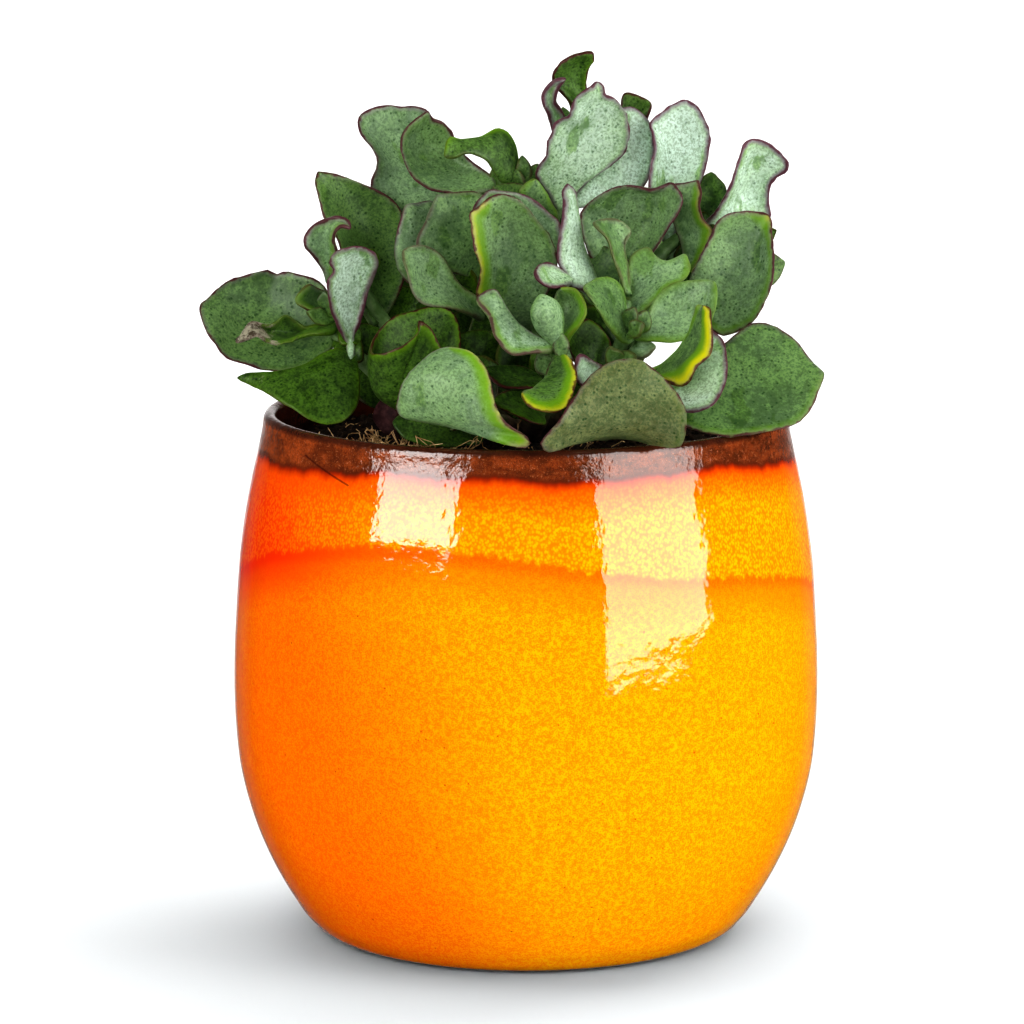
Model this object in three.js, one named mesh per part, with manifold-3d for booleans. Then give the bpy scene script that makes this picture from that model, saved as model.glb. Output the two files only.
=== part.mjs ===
// A curly jade plant in a glazed ceramic pot. Millimetres, +Z up, and the viewer stands at -Y.
// The origin is the middle of the pot's flat base.

import * as THREE from "three";
import { mergeVertices } from "three/addons/utils/BufferGeometryUtils.js";
import { ParametricGeometry } from "three/addons/geometries/ParametricGeometry.js";
import Module from "manifold-3d";

const wasm = await Module();
wasm.setup();

// Pot, thrown round: its outline from the edge of the base to the neck, as [radius, height]
const POT_OUTLINE = [[56.7, 0], [62.4, 1.9], [66.6, 5.4], [71.2, 12], [76.8, 22], [80.8, 31], [84.1, 41],
  [86.4, 51], [87.6, 62], [88.1, 73], [88.0, 85], [87.4, 96.5], [86.6, 108], [85.3, 119], [83.6, 130],
  [81.6, 140], [79.8, 148], [78.5, 155]];
const LIP_HEIGHT = 156.2;
const LIP_RADIUS = 2;
const LIP_CENTRE = 76.4;
const LIP_STEPS = 5;
const WALL = 6;
const FLOOR = 8;
const FLOOR_CORNER = 3;
const POT_SIDES = 48;

// Growing mix, which domes a little towards the stump
const GAP = 0.3;
const SOIL_EDGE = 147;
const SOIL_SHOULDER = 149.4;
const SOIL_MIDDLE = 150;
const SHOULDER_SHARE = 0.6;
const EDGE_BEVEL = 1;
const MIX_SIDES = 32;

// Stems
const ROOT_DEPTH = 12;
const FORK_RISE = 4;
const STUMP_RISE = 9;
const STEM_STEP = 9;
const STEM_SIDES = 9;
const FEWEST_STEPS = 4;
const TIP_SHARE = 0.6;

// Leaves
const FOOT_HALF_WIDTH = 2;
const LEAF_HALF_THICKNESS = 1.2;
const FOOT_HALF_THICKNESS = 1.6;
const FLESHY_SHARE = 1 / 3;
const TIP_POWER = 4;
const LEAF_SIDES = 12;
const ROW_LENGTH = 5.5;
const FEWEST_ROWS = 5;
const MOST_ROWS = 9;

// The plant's points are given as seen from the front, by an eye that looks down at it a little:
// across, up, and toward the viewer. All three are in mm, the first two as at the pot's axis.
const EYE_DISTANCE = 1600;
const EYE_TILT = THREE.MathUtils.degToRad(9.8);
const EYE_AIM = 127;

function seen([across, up, toward]) {
  const eyeBack = EYE_DISTANCE * Math.cos(EYE_TILT);
  const eyeRise = EYE_DISTANCE * Math.sin(EYE_TILT);
  const reach = (eyeBack - toward) / (eyeBack + up * Math.sin(EYE_TILT));
  return new THREE.Vector3(
    across * reach,
    -toward,
    EYE_AIM + eyeRise + reach * (up * Math.cos(EYE_TILT) - eyeRise),
  );
}

function finish(name, geometry, material) {
  geometry.computeVertexNormals();
  const mesh = new THREE.Mesh(geometry, material);
  mesh.name = name;
  return mesh;
}

function glaze() {
  return new THREE.MeshStandardMaterial({ color: 0xf08a12, roughness: 0.12, metalness: 0 });
}

function growingMix() {
  return new THREE.MeshStandardMaterial({ color: 0x2c2018, roughness: 0.95, metalness: 0 });
}

function stemSkin() {
  return new THREE.MeshStandardMaterial({ color: 0x8aa860, roughness: 0.6, metalness: 0 });
}

// Old leaves are dark and shiny, and those with the most wax on them are pale and dull.
const LEAF_COLORS = {
  green: 0x5f9160,
  dark: 0x3a6b3e,
  waxy: 0xa3c2ae,
  lime: 0x8fb04a,
  bronze: 0x68754a,
};
const WAXY_ROUGHNESS = 0.6;
const BARE_ROUGHNESS = 0.4;

function leafSkin(kind) {
  const roughness = kind === "waxy" ? WAXY_ROUGHNESS : BARE_ROUGHNESS;
  return new THREE.MeshStandardMaterial({ color: LEAF_COLORS[kind], roughness, metalness: 0 });
}

// Welds a geometry's shared vertices and leaves out its collapsed triangles.
function toSolid(geometry) {
  const bare = geometry.clone();
  bare.deleteAttribute("normal");
  bare.deleteAttribute("uv");
  const welded = mergeVertices(bare, 1e-4);
  const corners = welded.index.array;
  const kept = [];
  for (let i = 0; i < corners.length; i += 3) {
    const [a, b, c] = corners.slice(i, i + 3);
    if (a !== b && b !== c && c !== a) {
      kept.push(a, b, c);
    }
  }
  return new wasm.Manifold(new wasm.Mesh({
    numProp: 3,
    vertProperties: Float32Array.from(welded.attributes.position.array),
    triVerts: Uint32Array.from(kept),
  }));
}

function fromSolid(solid) {
  const mesh = solid.getMesh();
  const geometry = new THREE.BufferGeometry();
  geometry.setAttribute("position", new THREE.BufferAttribute(mesh.vertProperties, 3));
  geometry.setIndex(new THREE.BufferAttribute(mesh.triVerts, 1));
  return geometry;
}

function turned(profile, sides) {
  const points = profile.map(([radius, height]) => new THREE.Vector2(radius, height));
  return new THREE.LatheGeometry(points, sides).rotateX(Math.PI / 2);
}

// The cavity is the outline moved in by the wall, up to the lip.
function cavity(inset) {
  const side = POT_OUTLINE.filter(([, height], i) => i % 2 === 1 && height > FLOOR && height < SOIL_EDGE);
  const floorRadius = side[0][0] - WALL - FLOOR_CORNER;
  return [
    [0, FLOOR + inset],
    [floorRadius - inset, FLOOR + inset],
    ...side.map(([radius, height]) => [radius - WALL - inset, height + inset]),
  ];
}

function pot() {
  const lip = [];
  for (let step = 0; step <= LIP_STEPS; step += 1) {
    const angle = (step / LIP_STEPS) * Math.PI;
    lip.push([LIP_CENTRE + LIP_RADIUS * Math.cos(angle), LIP_HEIGHT + LIP_RADIUS * Math.sin(angle)]);
  }
  const profile = [[0, 0], ...POT_OUTLINE, ...lip, ...cavity(0).reverse()];
  return finish("pot", turned(profile, POT_SIDES), glaze());
}

// One stem is a tube that narrows along its path, with a point at each end.
function stemSolid(path, thick, thin) {
  const curve = new THREE.CatmullRomCurve3(path, false, "centripetal");
  const steps = Math.max(FEWEST_STEPS, Math.round(curve.getLength() / STEM_STEP));
  const frames = curve.computeFrenetFrames(steps, false);
  const ringCount = steps + 3;
  const tube = new ParametricGeometry((around, along, target) => {
    const ring = Math.round(along * (ringCount - 1));
    const step = THREE.MathUtils.clamp(ring - 1, 0, steps);
    const onEnd = ring === 0 || ring === ringCount - 1;
    const radius = onEnd ? 0 : THREE.MathUtils.lerp(thick, thin, step / steps);
    const angle = around * 2 * Math.PI;
    target.copy(curve.getPointAt(step / steps));
    target.addScaledVector(frames.normals[step], radius * Math.cos(angle));
    target.addScaledVector(frames.binormals[step], radius * Math.sin(angle));
    const roundEnd = ring === ringCount - 1 ? thin * TIP_SHARE : 0;
    target.addScaledVector(frames.tangents[step], roundEnd);
  }, STEM_SIDES, ringCount - 1);
  return toSolid(tube);
}

// All stems branch from one short stump, whose root is below the surface of the mix.
const STUMP_BASE = new THREE.Vector3(0, 2, SOIL_EDGE - ROOT_DEPTH);
const STUMP_TOP = new THREE.Vector3(1, 0, SOIL_EDGE + STUMP_RISE);
const FORK = new THREE.Vector3(0, 1, SOIL_EDGE + FORK_RISE);

const STEMS = {
  stump: { from: STUMP_BASE, to: [], end: STUMP_TOP, thick: 8.5, thin: 7 },
  left: { to: [[-20, 29, 8], [-38, 37, 12], [-50, 46, 12], [-58, 55, 10]], thick: 4, thin: 2.2 },
  upperLeft: { to: [[-16, 33, 0], [-30, 44, 1], [-42, 56, 3], [-50, 69, 5]], thick: 4, thin: 2 },
  topLeft: {
    to: [[-8, 34, -6], [-13, 48, -5], [-16, 68, -3], [-19, 86, -8], [-15, 96, -6]], thick: 4.4, thin: 2,
  },
  top: {
    to: [[1, 52, -2], [4, 74, -7], [9, 92, -10], [13, 106, -13], [14, 115, -14]], thick: 4.6, thin: 1.8,
  },
  topTwig: { from: seen([3, 68, -6]), to: [[0, 82, -5], [-1.6, 94, -6]], thick: 2, thin: 1.6 },
  topRight: {
    to: [[13, 34, -5], [22, 48, -5], [33, 68, -8], [43, 80, -12], [50, 85, -14]], thick: 4.4, thin: 2,
  },
  right: { from: seen([27, 58, -6]), to: [[38, 60, -2], [47, 62, 1]], thick: 2.8, thin: 2 },
  rosette: { to: [[3, 27, 18], [5, 31, 34], [8, 40, 43], [10, 50, 48]], thick: 4, thin: 2.3 },
  rightShoot: {
    to: [[13, 28, 10], [22, 35, 20], [27, 46, 28], [30, 55, 32], [30, 63, 28]], thick: 4, thin: 2,
  },
  frontRight: { from: seen([19, 31, 17]), to: [[26, 30, 30], [34, 32, 42]], thick: 3, thin: 2.4 },
  frontLeft: { to: [[-9, 27, 18], [-14, 29, 30], [-17, 35, 38]], thick: 3.6, thin: 2.4 },
  backMiddle: { to: [[2, 36, -22], [2, 46, -36], [0, 60, -46], [-2, 74, -51]], thick: 4, thin: 2.2 },
  backLeft: { to: [[-16, 36, -18], [-29, 46, -31], [-37, 58, -40]], thick: 3.8, thin: 2.2 },
  backRight: { to: [[16, 36, -16], [25, 44, -28], [28, 54, -36]], thick: 3.8, thin: 2.2 },
};

function stemTube({ from = FORK, to, end, thick, thin }, extra) {
  const path = [from, ...to.map(seen)];
  if (end) {
    path.push(end);
  }
  return stemSolid(path, thick + extra, thin + extra);
}

// Each leaf hangs on three lines from its foot to its tip: the left edge, the middle and the
// right edge. A section between them is a shallow arc with an oval thickness round it. A thin
// leaf has a thickness below 1, as a share of the usual, and skin names its colour.
function leafSolid({ foot, left, mid, right, tip, thickness = 1 }) {
  const start = seen(foot);
  const end = seen(tip);
  const leftPoints = left.map(seen);
  const rightPoints = right.map(seen);
  const across = leftPoints[0].clone().sub(rightPoints[0]).setLength(FOOT_HALF_WIDTH);
  const rail = (first, points) => new THREE.CatmullRomCurve3([first, ...points, end], false, "centripetal");
  const leftRail = rail(start.clone().add(across), leftPoints);
  const midRail = rail(start, mid.map(seen));
  const rightRail = rail(start.clone().sub(across), rightPoints);

  const section = (along, side) => {
    const l = leftRail.getPointAt(along);
    const m = midRail.getPointAt(along);
    const r = rightRail.getPointAt(along);
    const sag = l.clone().add(r).multiplyScalar(0.5).sub(m);
    return m.addScaledVector(r.sub(l), side / 2).addScaledVector(sag, side * side);
  };
  const small = 0.01;
  const normal = (along, side) => {
    const a = Math.min(along, 1 - 3 * small);
    const lengthwise = section(a + small, side).sub(section(a, side));
    const sidewise = section(a, Math.min(side + small, 1)).sub(section(a, Math.max(side - small, -1)));
    return sidewise.cross(lengthwise).normalize();
  };

  const rowsThatFit = Math.round(midRail.getLength() / ROW_LENGTH);
  const rows = THREE.MathUtils.clamp(rowsThatFit, FEWEST_ROWS, MOST_ROWS);
  const blade = new ParametricGeometry((around, stack, target) => {
    const row = Math.round(stack * (rows + 1));
    if (row === 0) {
      target.copy(start);
      return;
    }
    const along = (row - 1) / rows;
    const angle = -around * 2 * Math.PI;
    const side = Math.cos(angle);
    const pastFoot = Math.min(along / FLESHY_SHARE, 1);
    const fleshy = THREE.MathUtils.lerp(FOOT_HALF_THICKNESS, LEAF_HALF_THICKNESS, pastFoot);
    const depth = fleshy * thickness * Math.sqrt(1 - along ** TIP_POWER) * Math.sin(angle);
    target.copy(section(along, side));
    if (row <= rows) {
      target.addScaledVector(normal(along, side), depth);
    }
  }, LEAF_SIDES, rows + 1);
  return toSolid(blade);
}

const LEAVES = {
  // Left shoot
  left_big: {
    foot: [-57, 51.5, 8], tip: [-98, 60.6, 8],
    left: [[-60, 60, 3], [-67.8, 71.4, 0], [-80.4, 72.7, -4], [-92.6, 67.6, -1]],
    mid: [[-68, 56, 2], [-83, 57.5, 0]],
    right: [[-62.4, 45.2, 11], [-73.8, 41.1, 14], [-84, 42.6, 15], [-92, 47.6, 13], [-97, 55, 10]],
    skin: "dark",
  },
  left_saddle: {
    foot: [-51.6, 45.4, 17], tip: [-87, 40.4, 22],
    left: [[-57, 46.4, 22], [-68, 42.5, 25], [-79, 42.2, 24]],
    mid: [[-58, 37, 29], [-71, 36.5, 33]],
    right: [[-50.2, 36, 31], [-56, 26.2, 38], [-67.8, 28.9, 38], [-79, 36.6, 30]],
    skin: "dark",
  },
  left_withered: {
    foot: [-61.5, 53, 15], tip: [-87.3, 50.5, 24],
    left: [[-67.5, 57, 19], [-73.8, 59.6, 21], [-80.4, 56.4, 22]],
    mid: [[-71, 54.2, 20], [-79, 53.6, 21]],
    right: [[-67, 52.6, 25], [-73, 50.6, 27], [-80, 51.2, 27]],
    thickness: 0.7,
  },
  left_young: {
    foot: [-59.3, 58, 13], tip: [-64.8, 68.4, 15],
    left: [[-64.4, 60, 17], [-69.2, 62.6, 18], [-68.5, 65.6, 17]],
    mid: [[-62.5, 62.5, 13]],
    right: [[-58.3, 60.5, 12], [-59.6, 65.4, 12]],
    thickness: 0.8,
  },
  left_upright: {
    foot: [-53.6, 50, 14.6], tip: [-50.5, 80, 26],
    left: [[-56, 54, 21], [-59.7, 63.6, 26], [-59.6, 70.5, 28], [-59, 76.2, 29]],
    mid: [[-53.5, 60.6, 18], [-52.2, 72, 20]],
    right: [[-51, 54, 18], [-46.2, 67.2, 17], [-44.2, 75.6, 19]],
    skin: "waxy",
  },

  // Upper left shoot
  upper_left_dark: {
    foot: [-44.6, 55, 4], tip: [-62.8, 102.3, -4],
    left: [[-51, 64, 8], [-57.6, 81.6, 4], [-63, 94.5, 1]],
    mid: [[-45.3, 69.6, -4], [-51, 86, -9]],
    right: [[-38.4, 65.1, 0], [-35.6, 76, -5], [-38.6, 90, -9], [-51, 100, -9]],
    skin: "dark",
  },
  upper_left_curly: {
    foot: [-54, 71.5, 9], tip: [-66.6, 81.5, 17],
    left: [[-52.2, 81.6, 9], [-54.5, 88.2, 10], [-62.4, 87, 13]],
    mid: [[-57.5, 79, 17]],
    right: [[-59.7, 72.6, 17], [-64.4, 76.6, 20]],
    thickness: 0.8,
  },

  // Top left shoot
  top_left_tall: {
    foot: [-22, 88, -11], tip: [-49.8, 117.6, -21],
    left: [[-39, 92.4, -11], [-45.6, 100.2, -13], [-44.9, 106.2, -14], [-49.4, 113.4, -18]],
    mid: [[-34, 98, -20], [-39.3, 113, -26]],
    right: [[-27, 96.6, -21], [-25.8, 108.6, -28], [-30.5, 120.8, -29], [-41, 122.5, -27]],
    skin: "waxy",
  },
  top_left_broad: {
    foot: [-13.6, 96.2, -3], tip: [-29, 120, -10],
    left: [[-20, 94.6, 0], [-30.3, 97.3, -1], [-37.6, 107.1, -4], [-36, 114.6, -7]],
    mid: [[-21.3, 102, -8], [-28.8, 108.6, -11]],
    right: [[-9, 99, -8], [-12.3, 104.4, -11], [-17.4, 109.4, -14], [-23.4, 115.6, -14]],
    skin: "waxy",
  },
  top_left_arched: {
    foot: [-2, 95.8, -5], tip: [-24, 107, 9],
    left: [[-7, 98.4, 2], [-10, 103, 5], [-13, 107, 6], [-17, 109, 7], [-20, 106.8, 10]],
    mid: [[-5, 104, 0], [-9, 110.6, 1], [-16, 110.4, 4]],
    right: [[-0.8, 104, -5], [-3, 111, -5], [-7, 115.2, -5], [-14, 113, -2], [-20, 111, 3]],
    thickness: 0.8,
  },
  top_left_behind: {
    foot: [-21, 68, -2], tip: [-34.2, 92.7, 3],
    left: [[-36.3, 69.6, 7], [-39.4, 79.2, 6], [-38, 89.1, 4]],
    mid: [[-31.8, 80, 0]],
    right: [[-25.8, 74, -2], [-25.4, 83.4, -4], [-27.6, 92.4, -3]],
  },
  top_left_round: {
    foot: [-15.6, 71, 0], tip: [-22.2, 96.4, 5],
    left: [[-25.2, 75, 13], [-32.6, 81.8, 13], [-30.4, 90, 10]],
    mid: [[-19.4, 80, 4], [-21.4, 89, 3]],
    right: [[-10.8, 78.6, 3], [-10.8, 89.4, 1], [-15, 95.8, 2]],
  },
  left_centre_pale: {
    foot: [-13, 57.5, 2], tip: [-37, 78.2, 24],
    left: [[-18, 61, 22], [-31.8, 62.4, 27], [-35.6, 71.1, 27]],
    mid: [[-21.3, 64.5, 15], [-30, 71.3, 20]],
    right: [[-15.6, 65, 12], [-22.2, 71.4, 15], [-28.4, 79, 18]],
    skin: "waxy",
  },

  // Middle
  centre_big: {
    foot: [0, 54, 2], tip: [-9.4, 95.4, 25],
    left: [[-12, 62, 24], [-14.2, 75, 28], [-16.6, 87, 27]],
    mid: [[-4.2, 66.6, 18], [-5.2, 82, 19]],
    right: [[5.7, 63.6, 17], [9.2, 79, 20], [0.6, 91.4, 22]],
  },
  centre_lip: {
    foot: [1.6, 70, -1], tip: [-11, 96.8, 14],
    left: [[-7.8, 77, 10], [-15, 87, 15], [-15.2, 93.6, 17]],
    mid: [[-0.6, 80, 6], [-4.6, 90, 10]],
    right: [[10, 75.5, 5], [10.4, 84.6, 7], [1.2, 93.6, 9]],
  },
  centre_bright: {
    foot: [5.6, 84, -5], tip: [-8, 98, 7],
    left: [[1.8, 88.2, 4], [-4, 93.8, 8]],
    mid: [[2.6, 92.4, -1]],
    right: [[10.8, 89.6, -4], [5.7, 96.2, -2], [-0.4, 100, 2]],
    thickness: 0.8,
    skin: "lime",
  },
  centre_dark: {
    foot: [30, 66, -3], tip: [46.2, 97.8, 8],
    left: [[18, 73, 8], [14.6, 86, 9], [17.6, 94.6, 8], [26, 98.2, 6], [36, 98.4, 6]],
    mid: [[28, 78.6, 3], [34.2, 89, 2]],
    right: [[36.6, 75, 8], [42, 83.1, 11], [47.6, 92.1, 13]],
    skin: "dark",
  },
  centre_tall: {
    foot: [22, 50, 26], tip: [12, 98.6, 26],
    left: [[12, 68, 31], [9, 79, 31], [11, 92, 28]],
    mid: [[18, 62, 25], [14.6, 80, 23]],
    right: [[22, 67, 22], [17.2, 81, 22], [15.6, 93, 24]],
    thickness: 0.9,
    skin: "waxy",
  },
  centre_curly: {
    foot: [28.2, 65, 28], tip: [20.4, 87.4, 27],
    left: [[25.4, 72, 29], [25.2, 80, 31], [21.6, 85, 31]],
    mid: [[27.3, 78.6, 23], [25, 85, 24]],
    right: [[30.6, 73, 20], [31.8, 83, 18], [27, 88.4, 20]],
    thickness: 0.8,
  },
  centre_small: {
    foot: [6.4, 47, 42], tip: [3.3, 74, 40],
    left: [[5, 63.6, 38], [1.8, 70, 41]],
    mid: [[6.6, 62, 35], [6.6, 69, 35]],
    right: [[10, 62, 34], [9.6, 73, 34]],
    thickness: 0.8,
  },
  right_shoot_wavy: {
    foot: [31.8, 62, 26], tip: [48.4, 77, 20],
    left: [[30.9, 71.1, 20], [35.7, 79.6, 17], [41.6, 75.6, 20]],
    mid: [[38, 70.4, 22]],
    right: [[38, 63.6, 28], [44, 68, 29], [48.6, 72.4, 25]],
    thickness: 0.8,
  },
  right_shoot_broad: {
    foot: [32.4, 53, 35], tip: [56.9, 68.4, 32],
    left: [[36.4, 60, 33], [40.8, 66.4, 31], [50.4, 69.8, 30]],
    mid: [[43.2, 58.2, 32]],
    right: [[38.7, 51, 38], [49.2, 51.3, 39], [56.2, 59.4, 37]],
  },
  right_shoot_hood: {
    foot: [29.4, 52, 36], tip: [17, 67.2, 45],
    left: [[26.2, 55.6, 46], [22, 61.6, 49], [18.8, 65.2, 49]],
    mid: [[27, 61.4, 39], [23.4, 66.6, 40]],
    right: [[31, 58, 35], [29.8, 65.7, 33], [25.2, 70.6, 35], [20.6, 69, 40]],
    thickness: 0.8,
    skin: "waxy",
  },

  // Front rosette
  rosette_oval: {
    foot: [9, 50.6, 51], tip: [4.6, 65.6, 52],
    left: [[4.2, 53.7, 53], [1.4, 60, 55]],
    mid: [[6.4, 58, 56]],
    right: [[11, 55.6, 50], [10, 62.4, 49]],
    thickness: 0.8,
  },
  rosette_partner: {
    foot: [11, 50.6, 45], tip: [15.3, 67, 42],
    left: [[9.6, 58, 42], [8.4, 65.6, 41]],
    mid: [[14, 60, 42]],
    right: [[15.4, 53.6, 49], [18.6, 60.8, 49]],
    thickness: 0.8,
  },
  rosette_wavy: {
    foot: [7.4, 49.4, 50], tip: [-14.6, 64.4, 49],
    left: [[4.2, 48.3, 56], [-3.3, 46.9, 59], [-8.6, 51, 58], [-10, 57.4, 54]],
    mid: [[-1.8, 51.6, 52], [-8.6, 58.6, 50]],
    right: [[4.2, 52.4, 49], [-2.4, 56.7, 47], [-6.6, 62.7, 45], [-8.2, 67, 46]],
    thickness: 0.8,
    skin: "waxy",
  },
  rosette_yellow: {
    foot: [10.2, 47.6, 50], tip: [-1.5, 36.4, 73],
    left: [[13.8, 44.9, 58], [15.3, 40.2, 66], [11.4, 33, 73], [3.6, 30.6, 77]],
    mid: [[9.6, 40.4, 59], [5.4, 35.6, 66]],
    right: [[6.6, 44.1, 53], [3.8, 39, 58], [0.6, 37.8, 66]],
    thickness: 0.8,
    skin: "lime",
  },

  // Front left
  front_left_rolled: {
    foot: [-18.8, 36.6, 37], tip: [-47.2, 48, 43],
    left: [[-26, 60, 26], [-33, 60, 27], [-41.4, 56.6, 31], [-45.6, 52, 37]],
    mid: [[-29, 36, 34], [-38.6, 32.6, 37], [-47, 39.6, 40]],
    right: [[-26, 46, 44], [-31.8, 56, 46], [-34.6, 51.6, 50], [-41, 48.8, 50]],
    skin: "dark",
  },
  front_left_pale: {
    foot: [-15.4, 31.6, 42], tip: [-24, 49.8, 68],
    left: [[-26, 28, 60], [-38.4, 29.6, 68], [-38.4, 37.5, 71], [-33, 45, 70]],
    mid: [[-20, 26, 62], [-24, 30, 77], [-24.3, 40, 78]],
    right: [[-8, 24, 64], [-1.6, 19.6, 85], [-8.6, 26, 84], [-10.4, 34, 79], [-13, 42.6, 74]],
    skin: "waxy",
  },
  front_left_under: {
    foot: [-15.4, 27.4, 41], tip: [-40, 27, 52],
    left: [[-22, 33, 44], [-34, 32, 44]],
    mid: [[-27, 26, 50]],
    right: [[-20, 21.4, 54], [-32, 20.6, 58]],
    skin: "dark",
  },
  front_shade_upper: {
    foot: [5, 37.6, 45], tip: [-13, 42.6, 47],
    left: [[1.2, 43, 39], [-7.8, 44, 42]],
    mid: [[-4, 41, 43]],
    right: [[0, 37.4, 50], [-7, 37.6, 51]],
    thickness: 0.8,
    skin: "dark",
  },
  front_shade_lower: {
    foot: [3.8, 29.6, 42], tip: [-10, 33, 58],
    left: [[0.6, 35.4, 45], [-6.4, 36.4, 52]],
    mid: [[0, 32, 50]],
    right: [[5.6, 26, 56], [-2, 28, 62]],
    thickness: 0.8,
    skin: "dark",
  },

  // Front right
  front_right_d: {
    foot: [29, 27.4, 41], tip: [29, 46, 76],
    left: [[20, 23, 62], [5.4, 19, 85], [9, 28, 84], [14.6, 37, 81], [21, 44, 78]],
    mid: [[27, 23, 64], [26.8, 25.4, 79], [27.6, 36, 80]],
    right: [[38, 22, 62], [47, 19.6, 77], [48.2, 27.6, 79], [43, 38.4, 78], [36.4, 45, 77]],
    skin: "bronze",
  },
  front_right_pale_tip: {
    foot: [24.6, 37, 27], tip: [16, 47, 55],
    left: [[16.4, 38, 48], [14.4, 42.6, 56]],
    mid: [[20, 39.6, 43]],
    right: [[24.6, 42.2, 40], [20.6, 45.4, 49]],
    thickness: 0.8,
    skin: "waxy",
  },
  right_yellow: {
    foot: [30.6, 42.6, 33], tip: [53, 63, 51],
    left: [[43.4, 46.4, 44], [49, 54.8, 46], [51, 60, 48]],
    mid: [[42, 41.6, 50], [52, 53, 53]],
    right: [[45.6, 37.6, 58], [49.8, 39.9, 60], [52.6, 46, 59], [56, 53.1, 57], [55.6, 60.4, 54]],
    skin: "lime",
  },
  right_pale: {
    foot: [35.4, 35, 42], tip: [60.4, 45, 50],
    left: [[46, 46, 38], [52, 55, 42], [56.2, 57, 42], [59, 50.7, 45]],
    mid: [[47, 40, 46], [54, 42, 49]],
    right: [[45, 30.6, 56], [50, 29.4, 62], [55.6, 32, 61], [59.2, 36.6, 57]],
    skin: "waxy",
  },
  right_low_big: {
    foot: [37, 31, 44], tip: [89.8, 41.4, 34],
    left: [[50, 44, 36], [59, 51.2, 29], [67, 56.8, 23], [78, 55.2, 23], [85.6, 48.2, 27]],
    mid: [[56, 34, 42], [72, 38, 35]],
    right: [[53, 25, 52], [66, 23.4, 52], [79, 25, 46], [87, 32, 39]],
    skin: "dark",
  },
  middle_shade: {
    foot: [21.6, 36.6, 18], tip: [18, 58, 14],
    left: [[15, 44, 22], [12.4, 52, 20]],
    mid: [[19, 46, 14]],
    right: [[26, 46, 15], [24, 54, 11]],
    skin: "dark",
  },

  // Top shoot
  top_pale: {
    foot: [11.4, 92, -6], tip: [21.8, 129.6, 2],
    left: [[4.4, 98.6, 1], [3.2, 102.6, 3], [6.4, 107.6, 5], [8, 114, 5], [13, 120.8, 5], [16, 126, 4]],
    mid: [[13.8, 102, -5], [18.6, 115, -4]],
    right: [[21, 98.4, -7], [28, 104.6, -7], [31.2, 110, -6], [30.8, 117.6, -4], [27.2, 124.6, -1]],
    skin: "waxy",
  },
  top_dark: {
    foot: [14.6, 117, -13], tip: [20.4, 138.6, -10],
    left: [[11, 123, -8], [7.8, 127.6, -7], [7.6, 132.4, -7], [12.6, 137.2, -8]],
    mid: [[14.4, 127.2, -13]],
    right: [[19.6, 124, -14], [18.6, 130.6, -13], [20.4, 135.4, -12]],
    thickness: 0.8,
    skin: "dark",
  },
  top_curl: {
    foot: [11.2, 111, -11], tip: [12, 130.4, -2],
    left: [[6.6, 115.6, 0], [4.4, 122.8, 1], [6.6, 128.6, 0]],
    mid: [[7.2, 119, -4]],
    right: [[10, 117, -6], [8.6, 123, -4]],
    thickness: 0.7,
  },
  top_behind: {
    foot: [13.6, 96, -13], tip: [33, 120.9, -19],
    left: [[20, 106, -15], [26.7, 121.4, -15]],
    mid: [[27, 104.1, -19], [31, 114, -20]],
    right: [[34, 96.6, -17], [38.4, 104.1, -19], [37.8, 114.6, -21]],
    skin: "waxy",
  },

  // Top right shoot
  top_right_round: {
    foot: [42.4, 81, -15], tip: [48.6, 124.6, -21],
    left: [[37, 96, -11], [36.2, 107, -12], [37.4, 117.4, -16], [43, 122.6, -20]],
    mid: [[44.4, 100, -19], [46.8, 114, -23]],
    right: [[54, 98, -15], [56.2, 108, -17], [55, 117.4, -18], [52, 122.4, -20]],
    skin: "waxy",
  },
  top_right_tall: {
    foot: [52, 86, -13], tip: [70.2, 112.2, -10],
    left: [[55.6, 88.8, -8], [60.6, 96.8, -6], [64, 104.8, -7], [65.4, 110.2, -8]],
    mid: [[62, 92, -13], [69, 102, -14]],
    right: [[66, 84, -13], [72.4, 92.4, -14], [74.8, 100, -13], [78.9, 103.4, -11], [75.4, 110, -10]],
    skin: "waxy",
  },
  top_right_narrow: {
    foot: [44, 77, -8], tip: [48.8, 99.8, -4],
    left: [[46.4, 83, 0], [46, 91, 2], [44, 97, 0]],
    mid: [[49.8, 88, -5]],
    right: [[54, 81, -5], [53.6, 90, -6], [52.2, 97.6, -5]],
    skin: "lime",
  },
  right_big_round: {
    foot: [48, 62.6, 4], tip: [74.4, 89.2, 1],
    left: [[49, 70.2, 4], [52.8, 79, 4], [58.6, 89.2, 3], [66, 91, 1]],
    mid: [[57, 65.4, 4], [66, 77, 0]],
    right: [[56.7, 52.8, 12], [67, 56.4, 14], [73.6, 65.4, 13], [75, 78, 8]],
  },

  // Back, which the photograph's view doesn't reach
  back_middle_low: {
    foot: [1, 56, -47], tip: [2, 52, -91],
    left: [[-12, 57, -60], [-15, 54, -78]],
    mid: [[0, 56, -66], [1, 52.6, -80]],
    right: [[15, 58, -60], [17, 55, -78]],
  },
  back_left_low: {
    foot: [-37, 54, -42], tip: [-50, 46, -70],
    left: [[-46, 59, -52], [-53, 54, -64]],
    mid: [[-41, 53, -58]],
    right: [[-33, 49, -58], [-39, 44, -70]],
  },
  back_left_tall: {
    foot: [-38.6, 60.4, -41], tip: [-52, 84, -62],
    left: [[-50, 66, -44], [-56, 76, -53]],
    mid: [[-44, 72, -54]],
    right: [[-36, 74, -56], [-42, 84, -65]],
  },
  back_middle_left: {
    foot: [-3.4, 70, -51], tip: [-27, 84, -76],
    left: [[-17, 68, -62], [-27, 74, -74]],
    mid: [[-13, 76, -64]],
    right: [[-8, 83, -60], [-18, 89, -72]],
  },
  back_middle_top: {
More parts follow.
